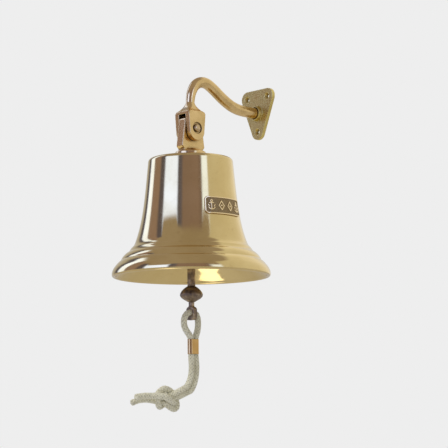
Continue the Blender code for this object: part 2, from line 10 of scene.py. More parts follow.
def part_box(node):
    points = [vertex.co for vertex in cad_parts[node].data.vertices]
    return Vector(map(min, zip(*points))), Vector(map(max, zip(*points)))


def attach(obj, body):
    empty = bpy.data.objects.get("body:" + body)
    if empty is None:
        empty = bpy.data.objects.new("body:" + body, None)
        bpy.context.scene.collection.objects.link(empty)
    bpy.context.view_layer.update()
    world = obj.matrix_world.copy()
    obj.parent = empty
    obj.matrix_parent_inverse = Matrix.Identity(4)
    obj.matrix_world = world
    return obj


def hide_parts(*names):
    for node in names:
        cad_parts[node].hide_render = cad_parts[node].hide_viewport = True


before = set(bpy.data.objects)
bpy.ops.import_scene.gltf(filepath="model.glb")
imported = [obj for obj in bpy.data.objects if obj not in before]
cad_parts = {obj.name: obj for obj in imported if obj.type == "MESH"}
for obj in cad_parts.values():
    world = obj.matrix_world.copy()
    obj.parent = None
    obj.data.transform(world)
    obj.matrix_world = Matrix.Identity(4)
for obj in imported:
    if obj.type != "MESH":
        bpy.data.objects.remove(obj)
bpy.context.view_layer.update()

MM = 0.001

# Places read from the frame: the bell's axis and the plane of its mouth, in metres
bell_low, bell_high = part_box("bell_shell")
BELL_Y = (bell_low.y + bell_high.y) / 2
MOUTH_Z = bell_low.z

# Sizes repeated from the model; heights are above the mouth; all in millimetres
CROWN_HEIGHT = 150.6
SHOULDER_R = 53.8
SHOULDER_ROUND = 5.0
WAIST_TOP = CROWN_HEIGHT - SHOULDER_ROUND
WAIST_BOTTOM = 43.5
PIN_HEIGHT = 188.6
GAP = 0.3
STUD_R = 5.0
ROPE_D = 7.4

# The rope's route, repeated from the model: (y from the bell axis, height)
LEG_FRONT = [
    (-0.2, -44.5), (-3.0, -44.8), (-8.4, -47.2), (-12.2, -53.0), (-12.5, -60.5), (-9.4, -67.0),
    (-4.4, -72.6), (-1.6, -77.2), (-1.15, -84.0), (-1.1, -90.0), (-1.0, -96.0), (-0.7, -104.0),
    (-0.4, -113.0), (-1.4, -122.5), (-4.2, -131.0), (-9.0, -138.2), (-14.2, -143.0)]
LEG_BACK = [
    (0.2, -44.5), (3.0, -44.8), (7.4, -46.8), (10.0, -52.0), (10.6, -60.0), (9.4, -67.5),
    (7.1, -73.4), (5.85, -78.0), (5.7, -84.0), (5.7, -90.0), (5.9, -96.0), (6.7, -104.0),
    (7.4, -113.0), (6.6, -123.5), (3.6, -133.2), (-2.0, -142.0), (-8.8, -148.6)]
# The two rope ends beyond the knot: (x, y from the bell axis, height)
END_FRONT = [
    (3.9, -52.8, -151.4), (4.2, -60.0, -151.0), (4.2, -68.0, -150.4), (4.0, -80.0, -150.6),
    (3.6, -93.0, -152.4)]
END_BACK = [
    (-3.9, -52.8, -154.0), (-4.4, -62.0, -154.6), (-5.0, -72.0, -154.8), (-5.5, -82.0, -155.8),
    (-5.8, -91.5, -158.8)]
FERRULE_Y, FERRULE_TOP, FERRULE_LENGTH = 2.3, -78.0, 19.0


def at(x, y, height):
    """Scene position of a point given in millimetres from the bell's axis and its mouth."""
    return Vector((x * MM, BELL_Y + y * MM, MOUTH_Z + height * MM))


# ---- camera

CAMERA_AZIMUTH = math.radians(49.0)
CAMERA_DISTANCE = 2.40
CAMERA_DROP = 0.2471
CAMERA_PITCH = math.radians(7.456)
CAMERA_YAW = math.radians(0.995)
CAMERA_ROLL = math.radians(-0.507)
CAMERA_LENS = 154.11


def make_camera():
    data = bpy.data.cameras.new("camera")
    data.lens = CAMERA_LENS
    data.sensor_width = 36.0
    camera = link("camera", data)
    out = Vector((math.sin(CAMERA_AZIMUTH), -math.cos(CAMERA_AZIMUTH), 0.0))
    camera.location = Vector((0.0, BELL_Y, MOUTH_Z - CAMERA_DROP)) + out * CAMERA_DISTANCE
    heading = Matrix.Rotation(CAMERA_AZIMUTH - CAMERA_YAW, 3, 'Z')
    tilt = Matrix.Rotation(math.pi / 2 + CAMERA_PITCH, 3, 'X')
    camera.rotation_euler = (heading @ tilt @ Matrix.Rotation(CAMERA_ROLL, 3, 'Z')).to_euler()
    bpy.context.scene.camera = camera


# ---- mesh helpers

def link(name, data, material=None):
    """Put new data into the scene as an object."""
    obj = bpy.data.objects.new(name, data)
    bpy.context.scene.collection.objects.link(obj)
    if material:
        data.materials.append(material)
    return obj


def built(name, bm, material=None, smooth=False):
    """Turn a bmesh into an object in the scene."""
    mesh = bpy.data.meshes.new(name)
    bm.to_mesh(mesh)
    bm.free()
    if smooth:
        mesh.shade_smooth()
    return link(name, mesh, material)


def from_arrays(name, points, faces, relief, material):
    """Smooth object from points in millimetres, with a relief value at each for the material."""
    verts = np.stack([points[:, 0] * MM, BELL_Y + points[:, 1] * MM, MOUTH_Z + points[:, 2] * MM], -1)
    mesh = bpy.data.meshes.new(name)
    mesh.from_pydata(verts.tolist(), [], faces)
    attribute = mesh.attributes.new("relief", 'FLOAT', 'POINT')
    attribute.data.foreach_set("value", relief.astype(np.float32).ravel())
    mesh.shade_smooth()
    return link(name, mesh, material)


def applied(obj):
    """Bake an object's modifiers into its mesh."""
    bpy.context.view_layer.update()
    graph = bpy.context.evaluated_depsgraph_get()
    mesh = bpy.data.meshes.new_from_object(obj.evaluated_get(graph))
    old = obj.data
    obj.modifiers.clear()
    obj.data = mesh
    if old.users == 0:
        bpy.data.meshes.remove(old)
    return obj


def arc(cx, cy, radius, start, end, steps):
    return [(cx + radius * math.cos(math.radians(start + (end - start) * i / steps)),
             cy + radius * math.sin(math.radians(start + (end - start) * i / steps)))
            for i in range(steps + 1)]


def catmull(points, per_span):
    pts = [Vector(p) for p in points]
    pts = [2 * pts[0] - pts[1]] + pts + [2 * pts[-1] - pts[-2]]
    out = []
    for i in range(1, len(pts) - 2):
        p0, p1, p2, p3 = pts[i - 1:i + 3]
        for j in range(per_span):
            t = j / per_span
            out.append(0.5 * (2 * p1 + (p2 - p0) * t + (2 * p0 - 5 * p1 + 4 * p2 - p3) * t ** 2
                              + (3 * p1 - p0 - 3 * p2 + p3) * t ** 3))
    return [tuple(p) for p in out + [pts[-2]]]


def rounded(points, radius, steps=4):
    """Polyline with each inner corner cut by a small quadratic curve."""
    pts = [Vector(p) for p in points]
    out = [pts[0]]
    for before, corner, after in zip(pts, pts[1:], pts[2:]):
        a = corner + (before - corner).normalized() * min(radius, (before - corner).length / 2)
        b = corner + (after - corner).normalized() * min(radius, (after - corner).length / 2)
        out += [a.lerp(corner, t).lerp(corner.lerp(b, t), t) for t in (i / steps for i in range(steps + 1))]
    return out + [pts[-1]]


def bridge(bm, a, b):
    """Join two rings with as many vertices by a band of faces."""
    for i in range(len(a)):
        j = (i + 1) % len(a)
        bm.faces.new((a[i], a[j], b[j], b[i]))


def turned(name, profile, segments, material=None, closed=False):
    """Revolve (radius, height) in millimetres round the bell's axis; runs down the outer side."""
    bm = bmesh.new()
    rings = []
    for r, h in profile:
        if r < 1e-6:
            rings.append([bm.verts.new(at(0.0, 0.0, h))])
            continue
        turns = [math.tau * i / segments for i in range(segments)]
        rings.append([bm.verts.new(at(r * math.cos(t), r * math.sin(t), h)) for t in turns])
    pairs = list(zip(rings, rings[1:])) + ([(rings[-1], rings[0])] if closed else [])
    for a, b in pairs:
        for i in range(segments):
            j = (i + 1) % segments
            if len(a) == 1:
                bm.faces.new((a[0], b[i], b[j]))
            elif len(b) == 1:
                bm.faces.new((a[i], b[0], a[j]))
            else:
                bm.faces.new((a[i], b[i], b[j], a[j]))
    return built(name, bm, material, smooth=True)


def rod(name, radius, start, end, end_radius=None, segments=48):
    start, end = Vector(start), Vector(end)
    bm = bmesh.new()
    bmesh.ops.create_cone(bm, cap_ends=True, segments=segments, radius1=radius * MM,
                          radius2=(radius if end_radius is None else end_radius) * MM,
                          depth=(end - start).length)
    turn = (end - start).to_track_quat('Z', 'Y').to_matrix().to_4x4()
    bmesh.ops.transform(bm, matrix=turn, verts=bm.verts)
    bmesh.ops.translate(bm, vec=(start + end) / 2, verts=bm.verts)
    return built(name, bm)


def slab(name, outline, place, thickness):
    """Extrude an outline; place(a, b, depth) gives the scene position, thickness is (from, to)."""
    bm = bmesh.new()
    low = [bm.verts.new(place(a, b, thickness[0])) for a, b in outline]
    high = [bm.verts.new(place(a, b, thickness[1])) for a, b in outline]
    bm.faces.new(low)
    bm.faces.new(high)
    bridge(bm, low, high)
    bmesh.ops.recalc_face_normals(bm, faces=bm.faces)
    return built(name, bm)


def sweep(name, points, radii, segments, material=None, cyclic=False):
    """Round bar along points in scene metres with a radius in metres at each."""
    pts = [Vector(p) for p in points]
    count = len(pts)
    tangents = []
    for i in range(count):
        if cyclic:
            tangents.append((pts[(i + 1) % count] - pts[i - 1]).normalized())
        else:
            tangents.append((pts[min(i + 1, count - 1)] - pts[max(i - 1, 0)]).normalized())
    normal = tangents[0].orthogonal().normalized()
    bm = bmesh.new()
    rings = []
    for i in range(count):
        normal = (normal - tangents[i] * normal.dot(tangents[i])).normalized()
        other = tangents[i].cross(normal)
        rings.append([bm.verts.new(pts[i] + (normal * math.cos(math.tau * k / segments)
                                             + other * math.sin(math.tau * k / segments)) * radii[i])
                      for k in range(segments)])
    for i in range(count if cyclic else count - 1):
        a, b = rings[i], rings[(i + 1) % count]
        shift = 0
        if cyclic and i == count - 1:
            shift = min(range(segments), key=lambda s: (a[0].co - b[s].co).length)
        bridge(bm, a, b[shift:] + b[:shift])
    if not cyclic:
        bm.faces.new(reversed(rings[0]))
        bm.faces.new(rings[-1])
    return built(name, bm, material, smooth=True)


def cut(obj, cutters):
    """Take each cutter's solid out of the object and remove the cutter."""
    for cutter in cutters:
        mod = obj.modifiers.new("cut", 'BOOLEAN')
        mod.operation = 'DIFFERENCE'
        mod.solver = 'EXACT'
        mod.object = cutter
        applied(obj)
        bpy.data.objects.remove(cutter, do_unlink=True)


def casting(name, solids, voxel, smoothing, material):
    """Melt closed solids into one skin with softly rounded edges, like a hand-polished casting."""
    bm = bmesh.new()
    for solid in solids:
        bm.from_mesh(solid.data)
        bpy.data.objects.remove(solid, do_unlink=True)
    obj = built(name, bm)
    remesh = obj.modifiers.new("skin", 'REMESH')
    remesh.mode = 'VOXEL'
    remesh.voxel_size = voxel * MM
    remesh.adaptivity = 0.0
    soften = obj.modifiers.new("soften", 'SMOOTH')
    soften.factor = 0.5
    soften.iterations = smoothing
    applied(obj)
    obj.data.materials.clear()
    obj.data.materials.append(material)
    obj.data.shade_smooth()
    return obj


def bevelled(obj, width, angle):
    """Round the edges that turn by more than angle degrees; width is in millimetres."""
    bevel = obj.modifiers.new("edges", 'BEVEL')
    bevel.width = width * MM
    bevel.segments = 3
    bevel.limit_method = 'ANGLE'
    bevel.angle_limit = math.radians(angle)
    return applied(obj)


# ---- materials

class Nodes:
    """Small wrapper that keeps the node building of a material or the world short."""

    def __init__(self, owner):
        owner.use_nodes = True
        self.owner = owner
        self.tree = owner.node_tree

    def add(self, kind, **values):
        node = self.tree.nodes.new(kind)
        for key, value in values.items():
            setattr(node, key, value)
        return node

    def feed(self, socket, value):
        """Give a socket a number, a colour or another node's output."""
        if isinstance(value, (int, float)):
            socket.default_value = value
        elif isinstance(value, tuple):
            socket.default_value = (*value, 1.0)
        else:
            self.tree.links.new(value, socket)

    def made(self, kind, inputs, output=0, **values):
        """Add a node, feed its inputs and return one output."""
        node = self.add(kind, **values)
        for key, value in inputs.items():
            self.feed(node.inputs[key], value)
        return node.outputs[output]

    def ramp(self, value, stops):
        node = self.add("ShaderNodeValToRGB")
        elements = node.color_ramp.elements
        while len(elements) < len(stops):
            elements.new(0.5)
        for element, (position, colour) in zip(elements, stops):
            element.position = position
            element.color = (*colour, 1.0)
        self.feed(node.inputs["Fac"], value)
        return node.outputs["Color"]

    def span(self, value, low, high, new_low=0.0, new_high=1.0, kind='LINEAR'):
        return self.made("ShaderNodeMapRange", {"From Min": low, "From Max": high, "To Min": new_low,
                                                "To Max": new_high, "Value": value},
                         interpolation_type=kind)

    def mix(self, factor, a, b):
        return self.made("ShaderNodeMix", {"Factor": factor, 6: a, 7: b}, 2, data_type='RGBA')

    def mix_shaders(self, factor, a, b):
        return self.made("ShaderNodeMixShader", {0: factor, 1: a, 2: b})

    def math(self, operation, a, b=0.0):
        return self.made("ShaderNodeMath", {0: a, 1: b}, operation=operation)


class Look(Nodes):
    """A new material with the parts that the pieces' materials share."""

    def __init__(self, name):
        super().__init__(bpy.data.materials.new(name))
        self.shader = self.tree.nodes["Principled BSDF"]

    def coords(self, scale=(1.0, 1.0, 1.0)):
        mapping = self.add("ShaderNodeMapping")
        mapping.inputs["Scale"].default_value = scale
        self.feed(mapping.inputs["Vector"], self.add("ShaderNodeTexCoord").outputs["Object"])
        return mapping.outputs["Vector"]

    def noise(self, vector, scale, detail=3.0, roughness=0.55):
        return self.made("ShaderNodeTexNoise", {"Scale": scale, "Detail": detail, "Roughness": roughness,
                                                "Vector": vector}, "Fac")

    def bump(self, height, strength, distance, normal=None):
        inputs = {"Strength": strength, "Distance": distance, "Height": height}
        if normal:
            inputs["Normal"] = normal
        return self.made("ShaderNodeBump", inputs, "Normal")

    def relief(self):
        return self.add("ShaderNodeAttribute", attribute_name="relief").outputs["Fac"]

    def set(self, **sockets):
        for name, value in sockets.items():
            self.feed(self.shader.inputs[name.replace("_", " ")], value)
        return self.owner


def polished_brass():
    """Mirror-polished, turned brass: fine rings round the axis, faint mottling and hazy patches."""
    n = Look("polished_brass")
    plain = n.coords()
    rings = n.noise(n.coords((6.0, 6.0, 900.0)), 2.0, 2.0)
    cloud = n.noise(plain, 22.0, 4.0)
    mottle = n.noise(plain, 160.0, 3.0)
    colour = n.mix(n.span(cloud, 0.35, 0.68), (0.79, 0.61, 0.275), (0.71, 0.53, 0.22))
    colour = n.mix(n.span(mottle, 0.60, 0.80, 0.0, 0.35), colour, (0.56, 0.39, 0.16))
    rough = n.math('ADD', n.span(rings, 0.3, 0.7, 0.05, 0.12), n.span(cloud, 0.45, 0.75, 0.0, 0.08))
    normal = n.bump(rings, 0.10, 0.00004)
    normal = n.bump(n.noise(plain, 34.0, 2.0), 0.10, 0.0008, normal)
    return n.set(Base_Color=colour, Metallic=1.0, Roughness=rough, Normal=normal)


# How far the ambient occlusion looks for the painted shade in the castings' hollows
PAINTED_SHADE_REACH = 6.0 * MM


def cast_brass(name, light, dark, rough_low, rough_high, wave=0.35):
    """Hand-polished casting: soft waviness, small pits, and painted shade that darkens its hollows."""
    n = Look(name)
    plain = n.coords()
    cloud = n.noise(plain, 60.0, 4.0)
    grain = n.noise(plain, 700.0, 3.0)
    colour = n.mix(n.span(cloud, 0.35, 0.70), light, dark)
    # Painted shade: where ambient occlusion finds near surfaces, the colour goes towards dark brown
    painted_shade = n.made("ShaderNodeAmbientOcclusion", {"Distance": PAINTED_SHADE_REACH}, "AO")
    colour = n.mix(n.span(painted_shade, 0.35, 0.85, 0.85, 0.0), colour, (0.11, 0.065, 0.035))
    rough = n.math('ADD', n.span(cloud, 0.3, 0.7, rough_low, rough_high),
                   n.span(grain, 0.5, 0.8, 0.0, 0.10))
    normal = n.bump(n.noise(plain, 95.0, 2.0), wave, 0.0010)
    normal = n.bump(grain, 0.10, 0.00015, normal)
    return n.set(Base_Color=colour, Metallic=1.0, Roughness=rough, Normal=normal)


def plaque_brass():
    """Raised rim and motifs rubbed bright; the stippled ground between them has gone dark."""
    n = Look("plaque_brass")
    plain = n.coords()
    cloud = n.noise(plain, 240.0, 3.0)
    height = n.math('ADD', n.relief(), n.span(cloud, 0.3, 0.7, -0.12, 0.12))
    colour = n.ramp(height, [(0.08, (0.30, 0.21, 0.10)), (0.45, (0.48, 0.35, 0.16)),
                             (0.85, (0.90, 0.70, 0.38))])
    rough = n.span(height, 0.1, 0.9, 0.42, 0.14)
    return n.set(Base_Color=colour, Metallic=1.0, Roughness=rough, Normal=n.bump(cloud, 0.2, 0.0003))


def aged_bronze():
    """Oxidised clapper: near-black brown skin, warm where handling has rubbed it."""
    n = Look("aged_bronze")
    plain = n.coords()
    patches = n.noise(plain, 140.0, 5.0, 0.65)
    grain = n.noise(plain, 900.0, 3.0)
    colour = n.ramp(patches, [(0.30, (0.13, 0.095, 0.070)), (0.52, (0.30, 0.225, 0.145)),
                              (0.72, (0.60, 0.45, 0.26))])
    rough = n.span(patches, 0.3, 0.75, 0.58, 0.34)
    normal = n.bump(patches, 0.35, 0.0006)
    normal = n.bump(grain, 0.25, 0.0002, normal)
    return n.set(Base_Color=colour, Metallic=0.85, Roughness=rough, Normal=normal)


def rope_material():
    """Cream braided cotton with painted shade in the low places between its yarns, and softly soiled."""
    n = Look("cotton_rope")
    plain = n.coords()
    soil = n.noise(plain, 55.0, 4.0)
    fibre = n.noise(plain, 2600.0, 2.0)
    worn = n.noise(plain, 420.0, 2.0)
    relief = n.math('ADD', n.relief(), n.span(worn, 0.35, 0.65, -0.30, 0.22))
    # Painted shade: the braid's low places between yarns are coloured near-black brown, its crowns cream
    yarn_colour_with_painted_shade = n.ramp(relief, [(0.0, (0.14, 0.128, 0.085)), (0.35, (0.52, 0.49, 0.345)),
                            (0.85, (0.84, 0.81, 0.62))])
    colour = n.mix(n.span(soil, 0.42, 0.72, 0.0, 0.40), yarn_colour_with_painted_shade, (0.50, 0.46, 0.29))
    colour = n.mix(n.span(fibre, 0.35, 0.75, 0.0, 0.30), colour, (0.88, 0.86, 0.70))
    normal = n.bump(fibre, 0.55, 0.0004)
    return n.set(Base_Color=colour, Roughness=0.92, Normal=normal, Sheen_Weight=0.35,
                 Sheen_Roughness=0.5, Specular_IOR_Level=0.15)


def leather_material():
    n = Look("gasket_leather")
    plain = n.coords()
    grain = n.noise(plain, 900.0, 4.0)
    colour = n.ramp(grain, [(0.35, (0.035, 0.020, 0.012)), (0.7, (0.11, 0.062, 0.034))])
    return n.set(Base_Color=colour, Roughness=0.7, Normal=n.bump(grain, 0.5, 0.0003))


# ---- the rope

ROPE_STEP = 0.32
ROPE_AROUND = 72
BRAID_YARNS = 6
BRAID_PITCH = 4.2
BRAID_RELIEF = 0.60
YARN_ROUND = 0.62
# How much the ferrule narrows the rope, how far past its ends that starts, and over what length
FERRULE_SQUEEZE, SQUEEZE_START, SQUEEZE_FADE = 0.075, 2.5, 3.0
# Half the gap left where two stretches of rope press on each other
CONTACT_GAP = 0.06

# The overhand knot as it is first laid: (right, up, near) in millimetres, seen from the camera's side
KNOT_LAID = (
    (-16.0, -149.0, 2.5), (-24.0, -153.4, -1.0), (-31.0, -156.4, -5.0), (-38.0, -157.6, -5.5),
    (-45.0, -155.6, -2.0), (-48.0, -151.4, 2.5), (-44.0, -148.0, 3.5), (-37.0, -146.6, 1.0),
    (-28.5, -146.4, -3.0), (-20.5, -148.0, -8.0), (-17.0, -152.5, -11.0), (-19.4, -158.4, -7.5),
    (-25.0, -161.6, 0.5), (-31.0, -158.6, 6.5), (-37.0, -153.4, 7.5), (-43.0, -150.6, 2.0))
KNOT_RIGHT = np.array((0.0, 1.0 / math.sin(CAMERA_AZIMUTH), 0.0))
KNOT_NEAR = np.array((math.sin(CAMERA_AZIMUTH), -math.cos(CAMERA_AZIMUTH), 0.0))
KNOT_ENTRY = np.array((((0, -4.2, -131.0), (0, -6.5, -134.8), (0, -9.0, -138.2)),
                       ((0, 3.6, -133.2), (0, 0.8, -137.7), (0, -2.0, -142.0))), float)
KNOT_EXIT = np.array((((4.2, -68.0, -150.4), (4.1, -71.0, -150.5), (4.1, -74.0, -150.6)),
                      ((-4.7, -68.0, -154.8), (-4.9, -71.0, -154.8), (-5.1, -74.0, -154.9))), float)
KNOT_POINTS = 96
KNOT_PULL = 0.15
KNOT_STEPS = 700
# Shares of the rope's diameter: how far a strand lies off the pair's middle line, how much it is squashed
KNOT_PAIR = 0.45
KNOT_SQUASH = 0.14
# Share of the steps over which the pull grows, and how much each step straightens the strands
KNOT_GROWTH, KNOT_STIFFNESS = 0.7, 0.25
# Points of one strand nearer than this along it, in diameters, don't press on each other
KNOT_FREE = 1.35
# Route points nearer than this to the knot's two ends are left out
KNOT_CLEAR = 3.0


def resampled(points, count):
    """The same polyline with count evenly spaced points, and its length."""
    points = np.asarray(points, float)
    along = np.r_[0, np.cumsum(np.linalg.norm(np.diff(points, axis=0), axis=1))]
    where = np.linspace(0, along[-1], count)
    return np.stack([np.interp(where, along, points[:, i]) for i in range(3)], 1), along[-1]


def tie_knot():
    """Both strands of the overhand knot, pulled tight step by step until they press on each other."""
    per_span = 6
    laid = np.array(catmull([(r, u) for r, u, _ in KNOT_LAID], per_span))
    depth = np.interp(np.arange(len(laid)) / per_span, np.arange(len(KNOT_LAID)), [p[2] for p in KNOT_LAID])
    line = np.outer(laid[:, 0], KNOT_RIGHT) + np.outer(depth, KNOT_NEAR)
    line[:, 2] += laid[:, 1]
    side = np.cross(np.gradient(line, axis=0), KNOT_NEAR)
    side /= np.linalg.norm(side, axis=1)[:, None]
    pair = np.stack([line + side * ROPE_D * KNOT_PAIR, line - side * ROPE_D * KNOT_PAIR])
    strands = []
    for k in range(2):
        s = np.linspace(0, 1, 10)[1:-1, None]
        lead_in = KNOT_ENTRY[k, -1] * (1 - s) + pair[k, 0] * s
        lead_out = pair[k, -1] * (1 - s) + KNOT_EXIT[k, 0] * s
        strands.append(resampled(np.vstack([KNOT_ENTRY[k], lead_in, pair[k], lead_out, KNOT_EXIT[k]]),
                                 KNOT_POINTS))
    start = np.array([length for _, length in strands])[:, None, None]
    pts = np.stack([line for line, _ in strands])
    held = [0, 1, 2, KNOT_POINTS - 3, KNOT_POINTS - 2, KNOT_POINTS - 1]
    anchors = np.stack([np.vstack([KNOT_ENTRY[k], KNOT_EXIT[k]]) for k in range(2)])
    index = np.arange(2 * KNOT_POINTS)
    same = (index // KNOT_POINTS)[:, None] == (index // KNOT_POINTS)[None, :]
    apart = np.abs((index % KNOT_POINTS)[:, None] - (index % KNOT_POINTS)[None])
    for step in range(KNOT_STEPS):
        done = min(1.0, step / (KNOT_STEPS * KNOT_GROWTH))
        rest = start * (1.0 - KNOT_PULL * done) / (KNOT_POINTS - 1)
        pts[:, held] = anchors
        for _ in range(3):
            for parity in (0, 1):
                i = np.arange(parity, KNOT_POINTS - 1, 2)
                gap = pts[:, i + 1] - pts[:, i]
                pull = 0.5 * (1 - rest / np.maximum(np.linalg.norm(gap, axis=2, keepdims=True), 1e-6)) * gap
                pts[:, i] += pull
                pts[:, i + 1] -= pull
            pts[:, held] = anchors
        pts[:, 1:-1] += KNOT_STIFFNESS * (0.5 * (pts[:, :-2] + pts[:, 2:]) - pts[:, 1:-1])
        flat = pts.reshape(-1, 3)
        gap = flat[:, None] - flat[None]
        distance = np.sqrt((gap ** 2).sum(2)) + 1e-9
        free = ~same | (apart > math.ceil(KNOT_FREE * ROPE_D / rest.min()))
        least = ROPE_D * (1.0 - KNOT_SQUASH * done)
        push = np.where(free & (distance < least), (least - distance) / distance, 0.0)
        touching = np.maximum((push > 0).sum(1), 1)
        flat = flat + 0.5 * (gap * push[:, :, None]).sum(1) / np.sqrt(touching)[:, None]
        pts = flat.reshape(2, KNOT_POINTS, 3)
        pts[:, held] = anchors
    return pts


def strand_route(leg, knot, end):
    """A strand's centreline (x, y from the bell axis, height), smoothed and evenly stepped."""
    before = [(0.0, y, h) for y, h in leg if h > knot[0][2] + KNOT_CLEAR]
    after = [p for p in end if p[1] < knot[-1][1] - KNOT_CLEAR]
    line, length = resampled(catmull(before + [tuple(p) for p in knot[::2]] + after, 8), 900)
    width = 5
    kernel = np.ones(2 * width + 1) / (2 * width + 1)
    padded = np.vstack([2 * line[0] - line[width:0:-1], line, 2 * line[-1] - line[-2:-width - 2:-1]])
    line = np.stack([np.convolve(padded[:, i], kernel, 'valid') for i in range(3)], 1)
    return resampled(line, int(round(length / ROPE_STEP)) + 1)


def braid(around, along):
    """Height from 0 to 1 of a one-over-one braid; around and along are counted in yarns."""
    a, b = around + along, around - along
    i, j = np.floor(a), np.floor(b)
    round_a = np.sqrt(np.maximum(1.0 - (2 * (a - i) - 1) ** 2, 0.0))
    round_b = np.sqrt(np.maximum(1.0 - (2 * (b - j) - 1) ** 2, 0.0))
    over = np.cos(np.pi * (b - 0.5 - i))
    under = np.cos(np.pi * (a - 0.5 - j))
    rise = 1.0 - YARN_ROUND
    top = np.maximum(YARN_ROUND * round_a + rise * over, YARN_ROUND * round_b - rise * under)
    return np.clip(top, 0.0, 1.0)


def frames_along(line):
    """Tangent and two steady cross directions at each point of a line."""
    tangent = np.gradient(line, axis=0)
    tangent /= np.linalg.norm(tangent, axis=1)[:, None]
    normal = np.zeros_like(line)
    normal[0] = np.cross(tangent[0], (1.0, 0.0, 0.0))
    normal[0] /= np.linalg.norm(normal[0])
    for k in range(1, len(line)):
        n = normal[k - 1] - tangent[k] * np.dot(normal[k - 1], tangent[k])
        normal[k] = n / np.linalg.norm(n)
    return tangent, normal, np.cross(tangent, normal)


def rope_strand(name, line, other, material):
    """Braided tube along line, squeezed in the ferrule and flattened where it presses on a neighbour."""
    count = len(line)
    tangent, normal, side = frames_along(line)
    theta = np.arange(ROPE_AROUND) / ROPE_AROUND * math.tau
    along = np.arange(count) * ROPE_STEP
    height = braid(theta[None, :] / math.tau * BRAID_YARNS, along[:, None] / BRAID_PITCH)
    ferrule_middle = FERRULE_TOP - FERRULE_LENGTH / 2
    past = FERRULE_LENGTH / 2 + SQUEEZE_START - np.abs(line[:, 2] - ferrule_middle)
    inside = np.clip(past / SQUEEZE_FADE, 0, 1)
    inside *= np.abs(line[:, 1] - FERRULE_Y) < 12.0
    radius = (ROPE_D / 2) * (1.0 - FERRULE_SQUEEZE * inside)
    swell = 0.03 * np.sin(along / 17.0) + 0.02 * np.sin(along / 5.3 + 1.0)
    reach = radius[:, None] * (1.0 + swell[:, None]) - BRAID_RELIEF + BRAID_RELIEF * height * 1.5
    offset = normal[:, None] * np.cos(theta)[None, :, None] + side[:, None] * np.sin(theta)[None, :, None]
    points = line[:, None] + offset * reach[:, :, None]
    # A point nearer to another stretch's centre than to its own goes back to the plane between them
    centres = np.vstack([line, other])
    owner = np.r_[np.zeros(count, int), np.ones(len(other), int)]
    rank = np.r_[np.arange(count), np.arange(len(other))]
    apart_steps = int(1.3 * ROPE_D / ROPE_STEP)
    for k in range(count):
        near = (owner == 1) | (np.abs(rank - k) > apart_steps)
        spread = centres - line[k]
        distance = np.sqrt((spread ** 2).sum(1))
        close = np.flatnonzero(near & (distance < ROPE_D * 1.02))
        if len(close) == 0:
            continue
        for c in close[:: max(1, len(close) // 14)]:
            direction = spread[c] / distance[c]
            limit = distance[c] / 2 - CONTACT_GAP
            past = (points[k] - line[k]) @ direction - limit
            points[k] -= np.maximum(past, 0.0)[:, None] * direction
    # The cut end: rings that close in and stand out, with a ragged edge
    rings = [points]
    # The braid's height also goes to the material, which paints shade in the low places between yarns
    shade = [height]
    for turn in (18, 36, 54, 72, 90):
        shrink, push = math.cos(math.radians(turn)), math.sin(math.radians(turn))
        ragged = np.cos(theta * 7 + turn) * 0.12 + np.cos(theta * 13 + 2 * turn) * 0.10
        ring = line[-1] + (points[-1] - line[-1]) * max(shrink, 0.02) + tangent[-1] * (push * 1.1)
        rings.append((ring + tangent[-1] * (ragged * shrink)[:, None])[None])
        shade.append((0.35 + 0.4 * np.cos(theta * 5 + turn) ** 2)[None])
    cloud = np.vstack(rings)
    shade = np.vstack(shade)
    total = len(cloud)
    k = np.arange(total - 1)[:, None] * ROPE_AROUND
    j = np.arange(ROPE_AROUND)[None]
    n = (np.arange(ROPE_AROUND) + 1)[None] % ROPE_AROUND
    quads = np.stack([k + j, k + n, k + ROPE_AROUND + n, k + ROPE_AROUND + j], -1).reshape(-1, 4)
    caps = [list(range(ROPE_AROUND))[::-1], list(range((total - 1) * ROPE_AROUND, total * ROPE_AROUND))]
    return from_arrays(name, cloud.reshape(-1, 3), quads.tolist() + caps, shade, material)


def make_rope(material, ferrule):
    knot = tie_knot()
    front, front_length = strand_route(LEG_FRONT, knot[0], END_FRONT)
    back, back_length = strand_route(LEG_BACK, knot[1], END_BACK)
    front_nodes = ("lanyard_leg_front", "lanyard_end_front", "lanyard_knot")
    back_nodes = ("lanyard_leg_back", "lanyard_end_back")
    for name, line, other, length, nodes, pieces in (
            ("rope_front", front, back, front_length, front_nodes, [ferrule]),
            ("rope_back", back, front, back_length, back_nodes, [])):
        strand = rope_strand(name, line, other, material)
        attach(strand, "lanyard")
        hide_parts(*nodes)


# ---- the bell

# How far the waist widens evenly and how much more it flares at its foot
WAIST_SPREAD, WAIST_FLARE = 9.7, 6.9
CROWN_THICKNESS, CROWN_EDGE = 4.0, 0.3
INNER_CORNER_R, INNER_FLAT_R = 6.0, 44.9


def waist_radius(height):
    t = (WAIST_TOP - height) / (WAIST_TOP - WAIST_BOTTOM)
    return SHOULDER_R + WAIST_SPREAD * t + WAIST_FLARE * t ** 4


# Mouldings round the flare, from the waist's foot to the lip: each run is smooth, with a crease between runs
FLARE_RUNS = (
    ((71.9, 39.9), (73.6, 37.9), (74.8, 36.6)),
    ((75.4, 36.2), (76.1, 35.2), (77.4, 33.2), (79.0, 31.3), (80.6, 30.2)),
    ((81.2, 29.9), (83.0, 28.5), (85.3, 26.1), (87.1, 23.6), (87.9, 21.9)),
    ((88.0, 21.2), (88.7, 20.4), (90.6, 19.0), (92.8, 16.9), (95.0, 14.3), (97.2, 11.4), (98.8, 8.4),
     (99.7, 5.6), (99.95, 3.2), (99.6, 1.3), (98.6, 0.25), (97.4, 0.0), (96.4, 0.3)))
INNER_WALL = ((95.3, 1.6), (93.7, 4.4), (88.4, 11.0), (82.0, 18.6), (75.2, 28.0), (69.2, 39.0),
              (63.2, 57.0), (60.4, 71.0), (58.4, 86.0), (55.2, 110.0), (51.0, 136.6))


